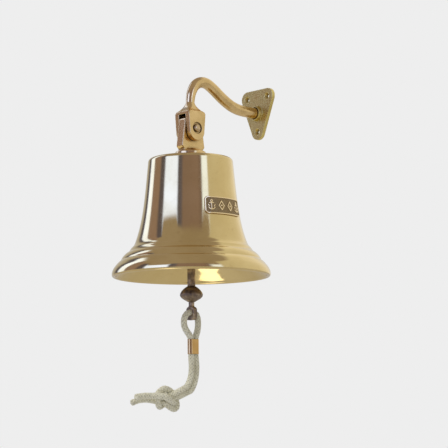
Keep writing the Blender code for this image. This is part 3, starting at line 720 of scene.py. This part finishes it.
def make_bell(material):
    hole = STUD_R + GAP
    shoulder = SHOULDER_R - SHOULDER_ROUND
    profile = [(hole, CROWN_HEIGHT - CROWN_EDGE), (hole + CROWN_EDGE, CROWN_HEIGHT)]
    profile += [(r, CROWN_HEIGHT) for r in (12.0, 20.0, 30.0, 40.0, 45.0)]
    profile += arc(shoulder, WAIST_TOP, SHOULDER_ROUND, 90.0, 0.0, 14)
    profile += [(waist_radius(h), h) for h in np.linspace(WAIST_TOP, WAIST_BOTTOM, 61)[1:]]
    for run in FLARE_RUNS:
        profile += catmull(run, 4)
    profile += catmull(INNER_WALL, 6)
    inside = CROWN_HEIGHT - CROWN_THICKNESS
    profile += arc(INNER_FLAT_R, inside - INNER_CORNER_R, INNER_CORNER_R, 0.0, 90.0, 8)
    profile += [(30.0, inside), (15.0, inside), (hole, inside)]
    bell = turned("bell", profile, 288, material, closed=True)
    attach(bell, "bell")
    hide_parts("bell_shell")


PLAQUE_CENTRE = math.radians(3.5)
PLAQUE_HALF_ANGLE = math.radians(28.5)
PLAQUE_LOW, PLAQUE_HIGH = 72.8, 95.0
PLAQUE_CORNER = 5.0
PLAQUE_GROUND = 0.95
PLAQUE_RAISED = 0.9
PLAQUE_RIM = 0.95
MOTIF_STEP = math.radians(13.4)
STIPPLE_HEIGHT = 0.16
STIPPLE_SEED = 7


def segment_distance(s, h, a, b):
    ax, ay = a
    bx, by = b
    length2 = (bx - ax) ** 2 + (by - ay) ** 2
    t = np.clip(((s - ax) * (bx - ax) + (h - ay) * (by - ay)) / length2, 0, 1)
    return np.hypot(s - ax - t * (bx - ax), h - ay - t * (by - ay))


def anchor_distance(s, h):
    """Distance in millimetres to the centreline of a small plain anchor, 13 mm tall."""
    shank = segment_distance(s, h, (0.0, 3.6), (0.0, -5.6))
    stock = segment_distance(s, h, (-2.7, 2.6), (2.7, 2.6))
    ring = np.abs(np.hypot(s, h - 5.2) - 1.25)
    turn = np.arctan2(s, -(h + 1.2))
    bow = np.where(np.abs(turn) < 1.25, np.abs(np.hypot(s, h + 1.2) - 4.4), 9.0)
    tips = np.minimum(segment_distance(s, h, (-4.3, 0.2), (-3.1, -1.7)),
                      segment_distance(s, h, (4.3, 0.2), (3.1, -1.7)))
    return np.minimum.reduce([shank, stock, ring, bow, tips])


def lozenge_distance(s, h):
    """Distance to a diamond's outline, 8 by 12 mm, and to a small boss in its middle."""
    corners = ((0.0, 5.6), (3.9, 0.0), (0.0, -5.6), (-3.9, 0.0))
    edges = [segment_distance(s, h, a, b) for a, b in zip(corners, corners[1:] + corners[:1])]
    boss = np.maximum(np.hypot(s, h) - 0.6, 0.0)
    return np.minimum.reduce(edges + [boss])


def make_plaque(material):
    columns, rows = 380, 150
    middle = (PLAQUE_LOW + PLAQUE_HIGH) / 2
    scale = waist_radius(middle)
    half_width = PLAQUE_HALF_ANGLE * scale
    half_height = (PLAQUE_HIGH - PLAQUE_LOW) / 2
    angle = np.linspace(-PLAQUE_HALF_ANGLE, PLAQUE_HALF_ANGLE, columns + 1)
    past = np.maximum(np.abs(angle) / PLAQUE_HALF_ANGLE * half_width - (half_width - PLAQUE_CORNER), 0.0)
    trim = PLAQUE_CORNER - np.sqrt(np.maximum(PLAQUE_CORNER ** 2 - past ** 2, 0.04))
    share = np.linspace(0, 1, rows + 1)
    low, high = PLAQUE_LOW + trim, PLAQUE_HIGH - trim
    height = low[:, None] + (high - low)[:, None] * share[None]
    s = (angle * scale)[:, None] + 0 * height
    h = height - middle
    outside_x = np.maximum(np.abs(s) - (half_width - PLAQUE_CORNER), 0.0)
    outside_y = np.maximum(np.abs(h) - (half_height - PLAQUE_CORNER), 0.0)
    straight = np.minimum(half_width - np.abs(s), half_height - np.abs(h))
    corner = PLAQUE_CORNER - np.hypot(outside_x, outside_y)
    edge = np.where((outside_x > 0) & (outside_y > 0), corner, straight)
    rim = np.clip(1.0 - np.abs(edge - PLAQUE_RIM) / PLAQUE_RIM, 0.0, 1.0)
    rim = np.clip(rim * 2.2, 0.0, 1.0)
    relief = PLAQUE_RAISED * np.sqrt(np.clip(1 - (1 - rim) ** 2, 0, 1)) * 0.95
    row = zip((-1.5, -0.5, 0.5, 1.5), (anchor_distance, lozenge_distance, lozenge_distance, anchor_distance))
    motifs = np.minimum.reduce([distance(s - k * MOTIF_STEP * scale, h) for k, distance in row])
    figure = np.clip((1.05 - motifs) / 0.55, 0.0, 1.0)
    figure = figure * figure * (3 - 2 * figure)
    relief = np.maximum(relief, PLAQUE_RAISED * figure)
    stipple = np.random.default_rng(STIPPLE_SEED).random(relief.shape)
    for _ in range(2):
        stipple = (stipple + np.roll(stipple, 1, 0) + np.roll(stipple, 1, 1)
                   + np.roll(stipple, (1, 1), (0, 1))) / 4
    stipple = np.clip((stipple - 0.5) * 3.2, -1.0, 1.0)
    ground = np.clip(1.0 - relief / 0.25, 0.0, 1.0)
    relief = relief + STIPPLE_HEIGHT * stipple * ground
    fall = np.clip(edge / 0.45, 0.0, 1.0)
    radius = waist_radius(height) + GAP + (PLAQUE_GROUND + relief) * (0.35 + 0.65 * np.sqrt(fall))
    back = waist_radius(height) + GAP
    sin, cos = np.sin(angle + PLAQUE_CENTRE)[:, None], np.cos(angle + PLAQUE_CENTRE)[:, None]
    outer = np.stack([radius * cos, radius * sin, height], -1).reshape(-1, 3)
    inner = np.stack([back * cos, back * sin, height], -1).reshape(-1, 3)
    index = np.arange((columns + 1) * (rows + 1)).reshape(columns + 1, rows + 1)
    front = np.stack([index[:-1, :-1], index[1:, :-1], index[1:, 1:], index[:-1, 1:]], -1).reshape(-1, 4)
    shift = index.size
    rear = front[:, ::-1] + shift
    border = np.r_[index[:, 0], index[-1, 1:], index[-2::-1, -1], index[0, -2:0:-1]]
    after = np.roll(border, -1)
    sides = np.stack([after, border, border + shift, after + shift], -1)
    values = np.r_[(relief / PLAQUE_RAISED).ravel(), np.ones(index.size)]
    plaque = from_arrays("plaque_relief", np.vstack([outer, inner]),
                         np.vstack([front, rear, sides]).tolist(), values, material)
    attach(plaque, "bell")
    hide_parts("plaque")


# ---- bracket, bolt and hanger

FORK_HALF, SLOT_HALF = 13.8, 6.5
FORK_CEILING = 207.2
FORK_END_HEIGHT, FORK_END_R = 184.8, 12.0
NECK_HEIGHT, NECK_R, ROOT_R = 223.2, 5.4, 7.1
# Share of the arm's length over which it thickens
ARM_SWELL = 0.42
PIN_R = 3.0
RECESS_R, RECESS_DEPTH = 7.2, 2.0
ARM_ROUTE = (
    (0.0, 217.0), (0.1, 223.0), (0.6, 229.0), (2.4, 236.4), (7.0, 244.8), (13.6, 250.0),
    (21.2, 251.9), (28.2, 251.0), (35.0, 247.9), (43.5, 242.6), (53.0, 236.2), (62.3, 230.9),
    (72.0, 226.6), (83.0, 223.8), (97.0, 222.7), (118.5, 222.7))


def superellipse(half, power, count):
    points = []
    for i in range(count):
        c, s = math.cos(math.tau * i / count), math.sin(math.tau * i / count)
        points.append((half * math.copysign(abs(c) ** (2 / power), c),
                       half * math.copysign(abs(s) ** (2 / power), s)))
    return points


def fork_head():
    sections = [(206.6, FORK_HALF, 14.0), (209.2, FORK_HALF, 14.0), (209.9, 13.6, 12.0), (210.8, 12.8, 9.0),
                (212.4, 11.1, 6.0), (214.2, 9.6, 4.6), (216.2, 8.2, 3.4), (218.2, 7.1, 2.7),
                (220.6, 6.1, 2.2), (NECK_HEIGHT, NECK_R + 0.05, 2.0)]
    count = 64
    bm = bmesh.new()
    rings = [[bm.verts.new(at(x, y, h)) for x, y in superellipse(half, power, count)]
             for h, half, power in sections]
    for lower, upper in zip(rings, rings[1:]):
        bridge(bm, lower, upper)
    bm.faces.new(reversed(rings[0]))
    bm.faces.new(rings[-1])
    return built("fork_head", bm)


def pin_rod(name, radius, start, end):
    return rod(name, radius, at(start, 0.0, PIN_HEIGHT), at(end, 0.0, PIN_HEIGHT), segments=96)


def make_arm(material):
    route = catmull(ARM_ROUTE, 8)
    points = [at(0.0, y, h) for y, h in route]
    radii = []
    for i in range(len(route)):
        g = min(1.0, i / (ARM_SWELL * len(route)))
        radii.append((NECK_R + (ROOT_R - NECK_R) * g * g * (3 - 2 * g)) * MM)
    solids = [sweep("neck", points, radii, 48), fork_head()]
    outline = [(FORK_HALF, FORK_CEILING + 1.0), (FORK_HALF, FORK_CEILING - 2.0)]
    outline += arc(0.0, FORK_END_HEIGHT, FORK_END_R, 0.0, -180.0, 40)
    outline += [(-FORK_HALF, FORK_CEILING - 2.0), (-FORK_HALF, FORK_CEILING + 1.0)]
    for side in (-1, 1):
        near, far = side * SLOT_HALF, side * FORK_HALF
        cheek = slab("cheek", outline, lambda y, h, x: at(x, y, h), (min(near, far), max(near, far)))
        cut(cheek, [pin_rod("bore", PIN_R + GAP, side * 4.0, side * 15.0),
                    pin_rod("recess", RECESS_R, side * (FORK_HALF - RECESS_DEPTH), side * 16.0)])
        solids.append(cheek)
    arm = casting("arm", solids, 0.42, 2, material)
    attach(arm, "bracket")
    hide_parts("bracket_arm")


# The wall plate, from the middle of its back: screw places, corner, drill, countersink, boss and socket
SCREW_SIDE, SCREW_TOP, SCREW_BOTTOM = 19.0, 21.0, -24.2
PLATE_CORNER, PLATE_THICKNESS = 10.5, 5.0
DRILL_R, SINK_R, SINK_DEPTH = 1.9, 5.4, 2.5
BOSS_R, BOSS_END_R, BOSS_HEIGHT = 10.5, 9.0, 10.0


def from_wall(name, radius, start, end, x=0.0, z=0.0, **shape):
    """Rod square to the wall, from start to end in millimetres in front of the plate's back."""
    return rod(name, radius, (x * MM, -start * MM, z * MM), (x * MM, -end * MM, z * MM), **shape)


def make_plate(material):
    lean = math.degrees(math.atan2(SCREW_SIDE, SCREW_TOP - SCREW_BOTTOM))
    outline = arc(-SCREW_SIDE, SCREW_TOP, PLATE_CORNER, 90.0, 180.0 + lean, 16)
    outline += arc(0.0, SCREW_BOTTOM, PLATE_CORNER, 180.0 + lean, 360.0 - lean, 20)
    outline += arc(SCREW_SIDE, SCREW_TOP, PLATE_CORNER, -lean, 90.0, 16)
    plate = slab("plate", outline, lambda x, z, y: Vector((x * MM, y * MM, z * MM)), (-PLATE_THICKNESS, 0.0))
    boss = from_wall("boss", BOSS_R, 3.0, BOSS_HEIGHT, end_radius=BOSS_END_R, segments=96)
    for solid in (plate, boss):
        cut(solid, [from_wall("socket", ROOT_R + GAP, 2.0, 13.0, segments=64)])
    for x, z in ((-SCREW_SIDE, SCREW_TOP), (SCREW_SIDE, SCREW_TOP), (0.0, SCREW_BOTTOM)):
        sink = from_wall("sink", DRILL_R, SINK_DEPTH, 6.0, x, z, end_radius=SINK_R)
        cut(plate, [from_wall("drill", DRILL_R, -1.0, 7.0, x, z), sink])
    plate = casting("plate", [plate, boss], 0.36, 3, material)
    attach(plate, "bracket")
    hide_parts("wall_plate")


def lay_on_pin(obj, side):
    """Stand a piece that was turned round the bell's axis at height zero on the pin, along X."""
    bpy.context.view_layer.update()
    for vertex in obj.data.vertices:
        x, y, z = vertex.co.x, vertex.co.y - BELL_Y, vertex.co.z - MOUTH_Z
        vertex.co = Vector((side * z, BELL_Y + side * y, MOUTH_Z + PIN_HEIGHT * MM + x))
    obj.data.update()
    return obj


HEAD_R, HEAD_DOME, HEAD_BEVEL = 4.9, 2.6, 0.3
BOLT_SKIRT, BOLT_TIP, BOLT_CHAMFER = 0.8, -13.2, 0.4
NUT_SKIRT, NUT_BORE_END = 2.2, 13.5


def domed_head(seat, skirt):
    """Profile from the crown of a domed head down its straight skirt to its seat."""
    rim = seat + skirt
    dome = [(0.0, rim + HEAD_DOME)]
    for a in [math.radians(degrees) for degrees in range(80, -1, -8)]:
        dome.append((HEAD_R * math.cos(a), rim + HEAD_DOME * math.sin(a)))
    return dome + [(HEAD_R, seat + HEAD_BEVEL), (HEAD_R - HEAD_BEVEL, seat)]


def make_bolt(material):
    seat = FORK_HALF - RECESS_DEPTH + GAP
    shank = [(PIN_R, seat), (PIN_R, BOLT_TIP + BOLT_CHAMFER), (PIN_R - BOLT_CHAMFER, BOLT_TIP),
             (0.0, BOLT_TIP)]
    bolt = lay_on_pin(turned("bolt", domed_head(seat, BOLT_SKIRT) + shank, 72, material), 1)
    bore = PIN_R + GAP
    inside = [(bore, seat), (bore, NUT_BORE_END), (0.0, NUT_BORE_END)]
    nut = lay_on_pin(turned("dome_nut", domed_head(seat, NUT_SKIRT) + inside, 72, material), -1)
    for piece, node in ((bolt, "pivot_bolt"), (nut, "pivot_nut")):
        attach(piece, "bracket")
        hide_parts(node)


LUG_HALF, LUG_RISE = 6.2, 9.2
LUG_CORNER_Y, LUG_CORNER_R = 9.0, 5.0
LUG_FLANK = ((18.6, 165.5), (15.4, 161.8), (15.4, 159.2))
FOOT_COVE = ((12.6, 162.8), (13.6, 161.6), (15.2, 160.6), (17.3, 159.9), (18.9, 159.1), (19.4, 158.0))
STUD_TOP, STUD_END, STUD_CHAMFER = 154.0, 123.4, 1.0
STUD_EYE_HEIGHT, STUD_EYE_R = 129.0, 3.0


def make_lug(material):
    top = PIN_HEIGHT + LUG_RISE
    outline = arc(LUG_CORNER_Y, top, LUG_CORNER_R, 0.0, 90.0, 12)
    outline += arc(-LUG_CORNER_Y, top, LUG_CORNER_R, 90.0, 180.0, 12)
    outline += [(-y, h) for y, h in LUG_FLANK] + list(reversed(LUG_FLANK))
    lug = slab("lug", outline, lambda y, h, x: at(x, y, h), (-LUG_HALF, LUG_HALF))
    cut(bevelled(lug, 0.9, 40.0), [pin_rod("bore", PIN_R + GAP, -9.0, 9.0)])
    low = CROWN_HEIGHT + 1.6
    foot_r, foot_top = FOOT_COVE[-1][0], FOOT_COVE[0][1]
    foot = turned("foot", [(0.0, foot_top)] + catmull(FOOT_COVE, 4)
                  + [(foot_r, low + 0.6), (foot_r - 0.6, low), (4.0, low), (0.0, low)], 144)
    stud = turned("stud", [(0.0, STUD_TOP), (STUD_R, STUD_TOP), (STUD_R, STUD_END + 1.2),
                           (STUD_R - STUD_CHAMFER, STUD_END), (0.0, STUD_END)], 72)
    ends = [at(x, 0.0, STUD_EYE_HEIGHT) for x in (-8.0, 8.0)]
    cut(stud, [rod("eye", STUD_EYE_R, *ends, segments=64)])
    hanger = casting("hanger", [lug, foot, stud], 0.33, 3, material)
    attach(hanger, "bell")
    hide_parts("hanger_lug")


def rounded_ring(name, inner, outer, low, high, edge, material):
    profile = [(inner, high - edge), (inner + edge, high), (outer - edge, high)]
    profile += arc(outer - edge, high - edge, edge, 90.0, 0.0, 4)[1:]
    profile += arc(outer - edge, low + edge, edge, 0.0, -90.0, 4)
    profile += [(inner + edge, low), (inner, low + edge)]
    return turned(name, profile, 144, material, closed=True)


GASKET_R = 19.0
WASHER_R, WASHER_LOW, WASHER_HIGH = 12.0, 144.7, 146.3
HEX_R, HEX_LOW, HEX_HIGH = 9.8, 138.2, 144.4


def make_crown_stack(brass, leather):
    bore = STUD_R + GAP
    gasket = rounded_ring("gasket", bore, GASKET_R, CROWN_HEIGHT + 0.3, CROWN_HEIGHT + 1.3, 0.3, leather)
    washer = rounded_ring("washer", bore, WASHER_R, WASHER_LOW, WASHER_HIGH, 0.25, brass)
    nut = slab("hex_nut", arc(0.0, 0.0, HEX_R, 0.0, 300.0, 5), at, (HEX_LOW, HEX_HIGH))
    ends = [at(0.0, 0.0, h) for h in (HEX_LOW - 1.6, HEX_HIGH + 1.2)]
    cut(bevelled(nut, 0.5, 30.0), [rod("thread", bore, *ends, segments=96)])
    nut.data.materials.append(brass)
    nut.data.shade_smooth()
    nut.data.set_sharp_from_angle(angle=math.radians(35.0))
    for piece, node, slot in ((gasket, "crown_gasket", "gasket_leather"),
                              (washer, "crown_washer", "fastener_brass"),
                              (nut, "crown_nut", "fastener_brass")):
        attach(piece, "bell")
        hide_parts(node)


# ---- clapper and ferrule

LINK_TOP, LINK_BOTTOM, LINK_HALF, LINK_CORNER = 128.1, 112.1, 8.2, 3.0
WIRE_R = 1.8
SHAFT_EYE_R, SHAFT_EYE_HEIGHT = 5.5, 110.5
BALL_BORE, BALL_TOP, BALL_BOTTOM = 2.5, -11.9, -31.5
TAIL_EYE_R, TAIL_EYE_HEIGHT = 4.5, -44.9
# Turned profiles of the shaft, the ball and the tail's neck: (radius, height)
BAR = ((0.0, 106.5), (2.6, 106.5), (3.6, 105.6), (4.6, 103.8), (5.0, 102.4), (5.0, -11.1), (4.8, -11.5),
       (2.2, -11.5), (2.2, -36.0), (0.0, -36.0))
BALL = ((5.2, -11.8), (6.6, -12.5), (8.6, -14.0), (10.8, -16.0), (12.7, -18.3), (13.9, -20.5), (14.4, -22.2),
        (14.2, -23.9), (13.1, -25.7), (10.9, -27.6), (8.4, -29.1), (6.2, -30.4), (4.9, -31.2), (4.3, -31.5))
NECK = ((0.0, -31.8), (3.4, -31.8), (3.7, -32.3), (3.5, -34.5), (3.6, -36.5), (4.2, -38.0), (4.0, -38.9),
        (0.0, -38.9))
# Outline of the flat plate that holds the tail's eye: (x, height)
TAIL = ((7.2, -40.5), (4.4, -37.6), (-4.4, -37.6), (-7.2, -40.5), (-7.2, -51.6), (-5.0, -54.2),
        (5.0, -54.2), (7.2, -51.6), (7.2, -40.5))


def make_clapper(material):
    inner, bend = LINK_HALF - LINK_CORNER, LINK_TOP - LINK_CORNER
    outline = arc(inner, bend, LINK_CORNER, 90.0, 0.0, 10)
    outline += arc(0.0, LINK_BOTTOM + LINK_HALF, LINK_HALF, 0.0, -180.0, 40)
    outline += arc(-inner, bend, LINK_CORNER, 180.0, 90.0, 10)
    outline += [(x, LINK_TOP) for x in (-3.5, -1.8, 0.0, 1.8, 3.5)]
    ring = sweep("link_ring", [at(x, 0.0, h) for x, h in outline], [WIRE_R * MM] * len(outline), 28,
                 material, cyclic=True)
    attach(ring, "link")
    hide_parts("clapper_link")

    circle = arc(0.0, SHAFT_EYE_HEIGHT, SHAFT_EYE_R, 0.0, 354.0, 59)
    eye = sweep("eye", [at(0.0, y, h) for y, h in circle], [WIRE_R * MM] * len(circle), 28, cyclic=True)
    shaft = casting("shaft", [turned("bar", BAR, 72), eye], 0.3, 2, material)
    profile = [(BALL_BORE, BALL_TOP)] + catmull(BALL, 4) + [(BALL_BORE, BALL_BOTTOM)]
    ball = turned("ball", profile, 120, material, closed=True)
    outline = [(p.x, p.y) for p in rounded(TAIL, 1.2)[:-1]]
    eye_plate = slab("eye_plate", outline, lambda x, h, y: at(x, y, h), (-3.0, 3.0))
    ends = [at(0.0, y, TAIL_EYE_HEIGHT) for y in (-8.0, 8.0)]
    cut(eye_plate, [rod("tail_eye", TAIL_EYE_R, *ends, segments=72)])
    neck = turned("neck", NECK, 64)
    cut(neck, [rod("tail_bore", BALL_BORE, at(0.0, 0.0, -30.0), at(0.0, 0.0, -36.4))])
    tail = casting("tail", [eye_plate, neck], 0.24, 3, material)
    for piece, node in ((shaft, "clapper_shaft"), (ball, "clapper_ball"), (tail, "clapper_tail")):
        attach(piece, "clapper")
        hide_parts(node)


FERRULE_WIDTH, FERRULE_DEPTH = 16.0, 8.6
# The ferrule's rolled edge: (depth under the outer face, distance from the end)
FERRULE_EDGE = ((0.0, 0.7), (0.0, 0.3), (0.1, 0.08), (0.3, 0.0), (0.7, 0.2))


def make_ferrule(material):
    half, radius = (FERRULE_WIDTH - FERRULE_DEPTH) / 2, FERRULE_DEPTH / 2
    turns = [(half, a) for a in np.linspace(-90, 90, 33)] + [(-half, a) for a in np.linspace(90, 270, 33)]
    section = [(-inward, FERRULE_TOP - FERRULE_LENGTH + rise) for inward, rise in FERRULE_EDGE]
    section += [(-inward, FERRULE_TOP - drop) for inward, drop in reversed(FERRULE_EDGE)]
    bm = bmesh.new()
    rings = []
    for shift, angle in turns:
        c, s = math.cos(math.radians(angle)), math.sin(math.radians(angle))
        rings.append([bm.verts.new(at((radius + o) * s, FERRULE_Y + shift + (radius + o) * c, h))
                      for o, h in section])
    for a, b in zip(rings, rings[1:] + rings[:1]):
        for i in range(len(section)):
            j = (i + 1) % len(section)
            bm.faces.new((a[i], b[i], b[j], a[j]))
    bmesh.ops.recalc_face_normals(bm, faces=bm.faces)
    ferrule = built("ferrule", bm, material, smooth=True)
    ferrule.data.set_sharp_from_angle(angle=math.radians(50.0))
    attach(ferrule, "lanyard")
    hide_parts("lanyard_ferrule")
    return ferrule


# ---- studio

BACKDROP = 0.855
SOFT_LIGHT = 0.62
FLOOR_Z = -2.6
FLOOR_HALF = 40.0
BROWN, GREY, YELLOW = (0.90, 0.71, 0.86), (1.10, 1.08, 1.95), (1.10, 1.09, 1.08)
WHITE, BLUE_WHITE = (1.07, 1.36, 2.50), (1.07, 1.42, 3.15)
BEYOND = (0.37, 0.33, 0.33)
# The scales that keep the brightness and the lowest reach inside a colour ramp's 0 to 1
BRIGHTEST, LOWEST = 4.0, -0.5
# What stands round the bell, by the angle from the camera's side; minus is left of the camera. Each row is
# angle, brightness, tint, and the highest and lowest direction height it reaches
ROUND_LIGHT = (
    (-180, 0.60, YELLOW, 0.62, -0.40), (-150, 0.45, YELLOW, 0.62, -0.40), (-140, 0.10, GREY, 0.72, -0.40),
    (-134, 0.10, GREY, 0.72, -0.40), (-130, 1.20, WHITE, 0.79, -0.10), (-115, 1.20, WHITE, 0.79, -0.10),
    (-112, 0.36, BROWN, 0.79, -0.40), (-90, 0.38, BROWN, 0.70, -0.40), (-84, 0.11, GREY, 0.66, -0.40),
    (-74, 0.12, GREY, 0.66, -0.40), (-70, 1.06, BLUE_WHITE, 0.46, -0.07),
    (-36, 1.06, BLUE_WHITE, 0.49, -0.07), (-32, 0.11, GREY, 0.60, -0.40),
    (-24, 0.14, GREY, 0.62, -0.40), (-20, 0.30, BROWN, 0.64, -0.40),
    (18, 0.33, BROWN, 0.64, -0.40), (27, 0.24, BROWN, 0.64, -0.40), (31, 1.06, WHITE, 0.45, -0.07),
    (44, 1.06, WHITE, 0.45, -0.07), (47, 0.60, YELLOW, 0.80, -0.40), (120, 0.70, YELLOW, 0.90, -0.40),
    (150, 0.85, YELLOW, 0.90, -0.40), (180, 0.60, YELLOW, 0.62, -0.40))


def make_world():
    world = bpy.data.worlds.new("studio")
    bpy.context.scene.world = world
    n = Nodes(world)
    n.tree.nodes.clear()
    split = n.add("ShaderNodeSeparateXYZ")
    n.feed(split.inputs[0], n.add("ShaderNodeTexCoord").outputs["Generated"])
    x, y, z = split.outputs
    sin, cos = math.sin(CAMERA_AZIMUTH), math.cos(CAMERA_AZIMUTH)
    front = n.math('ADD', n.math('MULTIPLY', x, sin), n.math('MULTIPLY', y, -cos))
    right = n.math('ADD', n.math('MULTIPLY', x, cos), n.math('MULTIPLY', y, sin))
    angle = n.math('ARCTAN2', right, front)
    share = n.math('ADD', n.math('MULTIPLY', angle, 1 / math.tau), 0.5)
    places = [(degrees + 180) / 360 for degrees, *_ in ROUND_LIGHT]
    levels = [[value * t / BRIGHTEST for t in tint] for _, value, tint, _, _ in ROUND_LIGHT]
    reaches = [(top, base - LOWEST, 0.0) for *_, top, base in ROUND_LIGHT]
    level = n.ramp(share, list(zip(places, levels)))
    reach = n.add("ShaderNodeSeparateColor")
    n.feed(reach.inputs[0], n.ramp(share, list(zip(places, reaches))))
    above = n.math('SUBTRACT', z, reach.outputs[0])
    below = n.math('SUBTRACT', z, n.math('ADD', reach.outputs[1], LOWEST))
    band = n.math('MULTIPLY', n.span(above, -0.035, 0.035, 1.0, 0.0, 'SMOOTHSTEP'),
                  n.span(below, -0.06, 0.03, 0.0, 1.0, 'SMOOTHSTEP'))
    grown = n.made("ShaderNodeVectorMath", {0: level, "Scale": BRIGHTEST}, operation='SCALE')
    soft_colour = (SOFT_LIGHT, SOFT_LIGHT * 0.985, SOFT_LIGHT * 0.95)
    around, soft, seen = [n.made("ShaderNodeBackground", {"Color": colour})
                          for colour in (n.mix(band, BEYOND, grown), soft_colour, (BACKDROP,) * 3)]
    ray = n.add("ShaderNodeLightPath").outputs
    matt = n.mix_shaders(ray["Is Diffuse Ray"], around, soft)
    n.feed(n.add("ShaderNodeOutputWorld").inputs["Surface"], n.mix_shaders(ray["Is Camera Ray"], matt, seen))


def make_floor():
    """Wide pale floor far below, as bright as the backdrop where the camera sees it directly."""
    bm = bmesh.new()
    bmesh.ops.create_grid(bm, x_segments=2, y_segments=2, size=FLOOR_HALF)
    n = Look("floor_paper")
    n.set(Base_Color=(0.80, 0.78, 0.76), Roughness=0.95)
    seen = n.made("ShaderNodeEmission", {"Color": (BACKDROP,) * 3})
    ray = n.add("ShaderNodeLightPath").outputs["Is Camera Ray"]
    surface = n.mix_shaders(ray, n.shader.outputs[0], seen)
    n.feed(n.tree.nodes["Material Output"].inputs["Surface"], surface)
    floor = built("floor", bm, n.owner)
    floor.location.z = FLOOR_Z


def soft_lamp(name, place, size, power, shine):
    """Square soft lamp aimed at the bell's mouth; place is right of, in front of and above it, in metres."""
    data = bpy.data.lights.new(name, 'AREA')
    data.size = size
    data.energy = power
    lamp = link(name, data)
    right, front, up = place
    sin, cos = math.sin(CAMERA_AZIMUTH), math.cos(CAMERA_AZIMUTH)
    target = Vector((0.0, BELL_Y, MOUTH_Z))
    lamp.location = target + Vector((right * cos + front * sin, right * sin - front * cos, up))
    lamp.rotation_euler = (target - lamp.location).to_track_quat('-Z', 'Y').to_euler()
    lamp.visible_camera = False
    lamp.visible_glossy = shine


def make_lights():
    soft_lamp("soft_key", (-1.07, 0.90, 1.5), 0.7, 17.0, False)
    soft_lamp("soft_fill", (-0.30, 0.12, -0.80), 0.30, 0.42, True)


def main():
    bpy.context.scene.view_settings.view_transform = 'Standard'
    make_camera()
    cast = cast_brass("cast_brass", (0.84, 0.60, 0.27), (0.68, 0.47, 0.19), 0.15, 0.26)
    sand_cast = cast_brass("sand_cast_brass", (0.78, 0.62, 0.21), (0.64, 0.49, 0.15), 0.28, 0.42)
    fastener = cast_brass("fastener_brass", (0.72, 0.54, 0.30), (0.55, 0.38, 0.18), 0.12, 0.22, 0.12)
    drawn = cast_brass("ferrule_brass", (0.66, 0.42, 0.16), (0.56, 0.33, 0.11), 0.10, 0.18, 0.10)
    bronze = aged_bronze()
    ferrule = make_ferrule(drawn)
    make_rope(rope_material(), ferrule)
    make_bell(polished_brass())
    make_plaque(plaque_brass())
    make_arm(cast)
    make_plate(sand_cast)
    make_bolt(fastener)
    make_lug(cast)
    make_crown_stack(fastener, leather_material())
    make_clapper(bronze)
    make_world()
    make_floor()
    make_lights()


main()
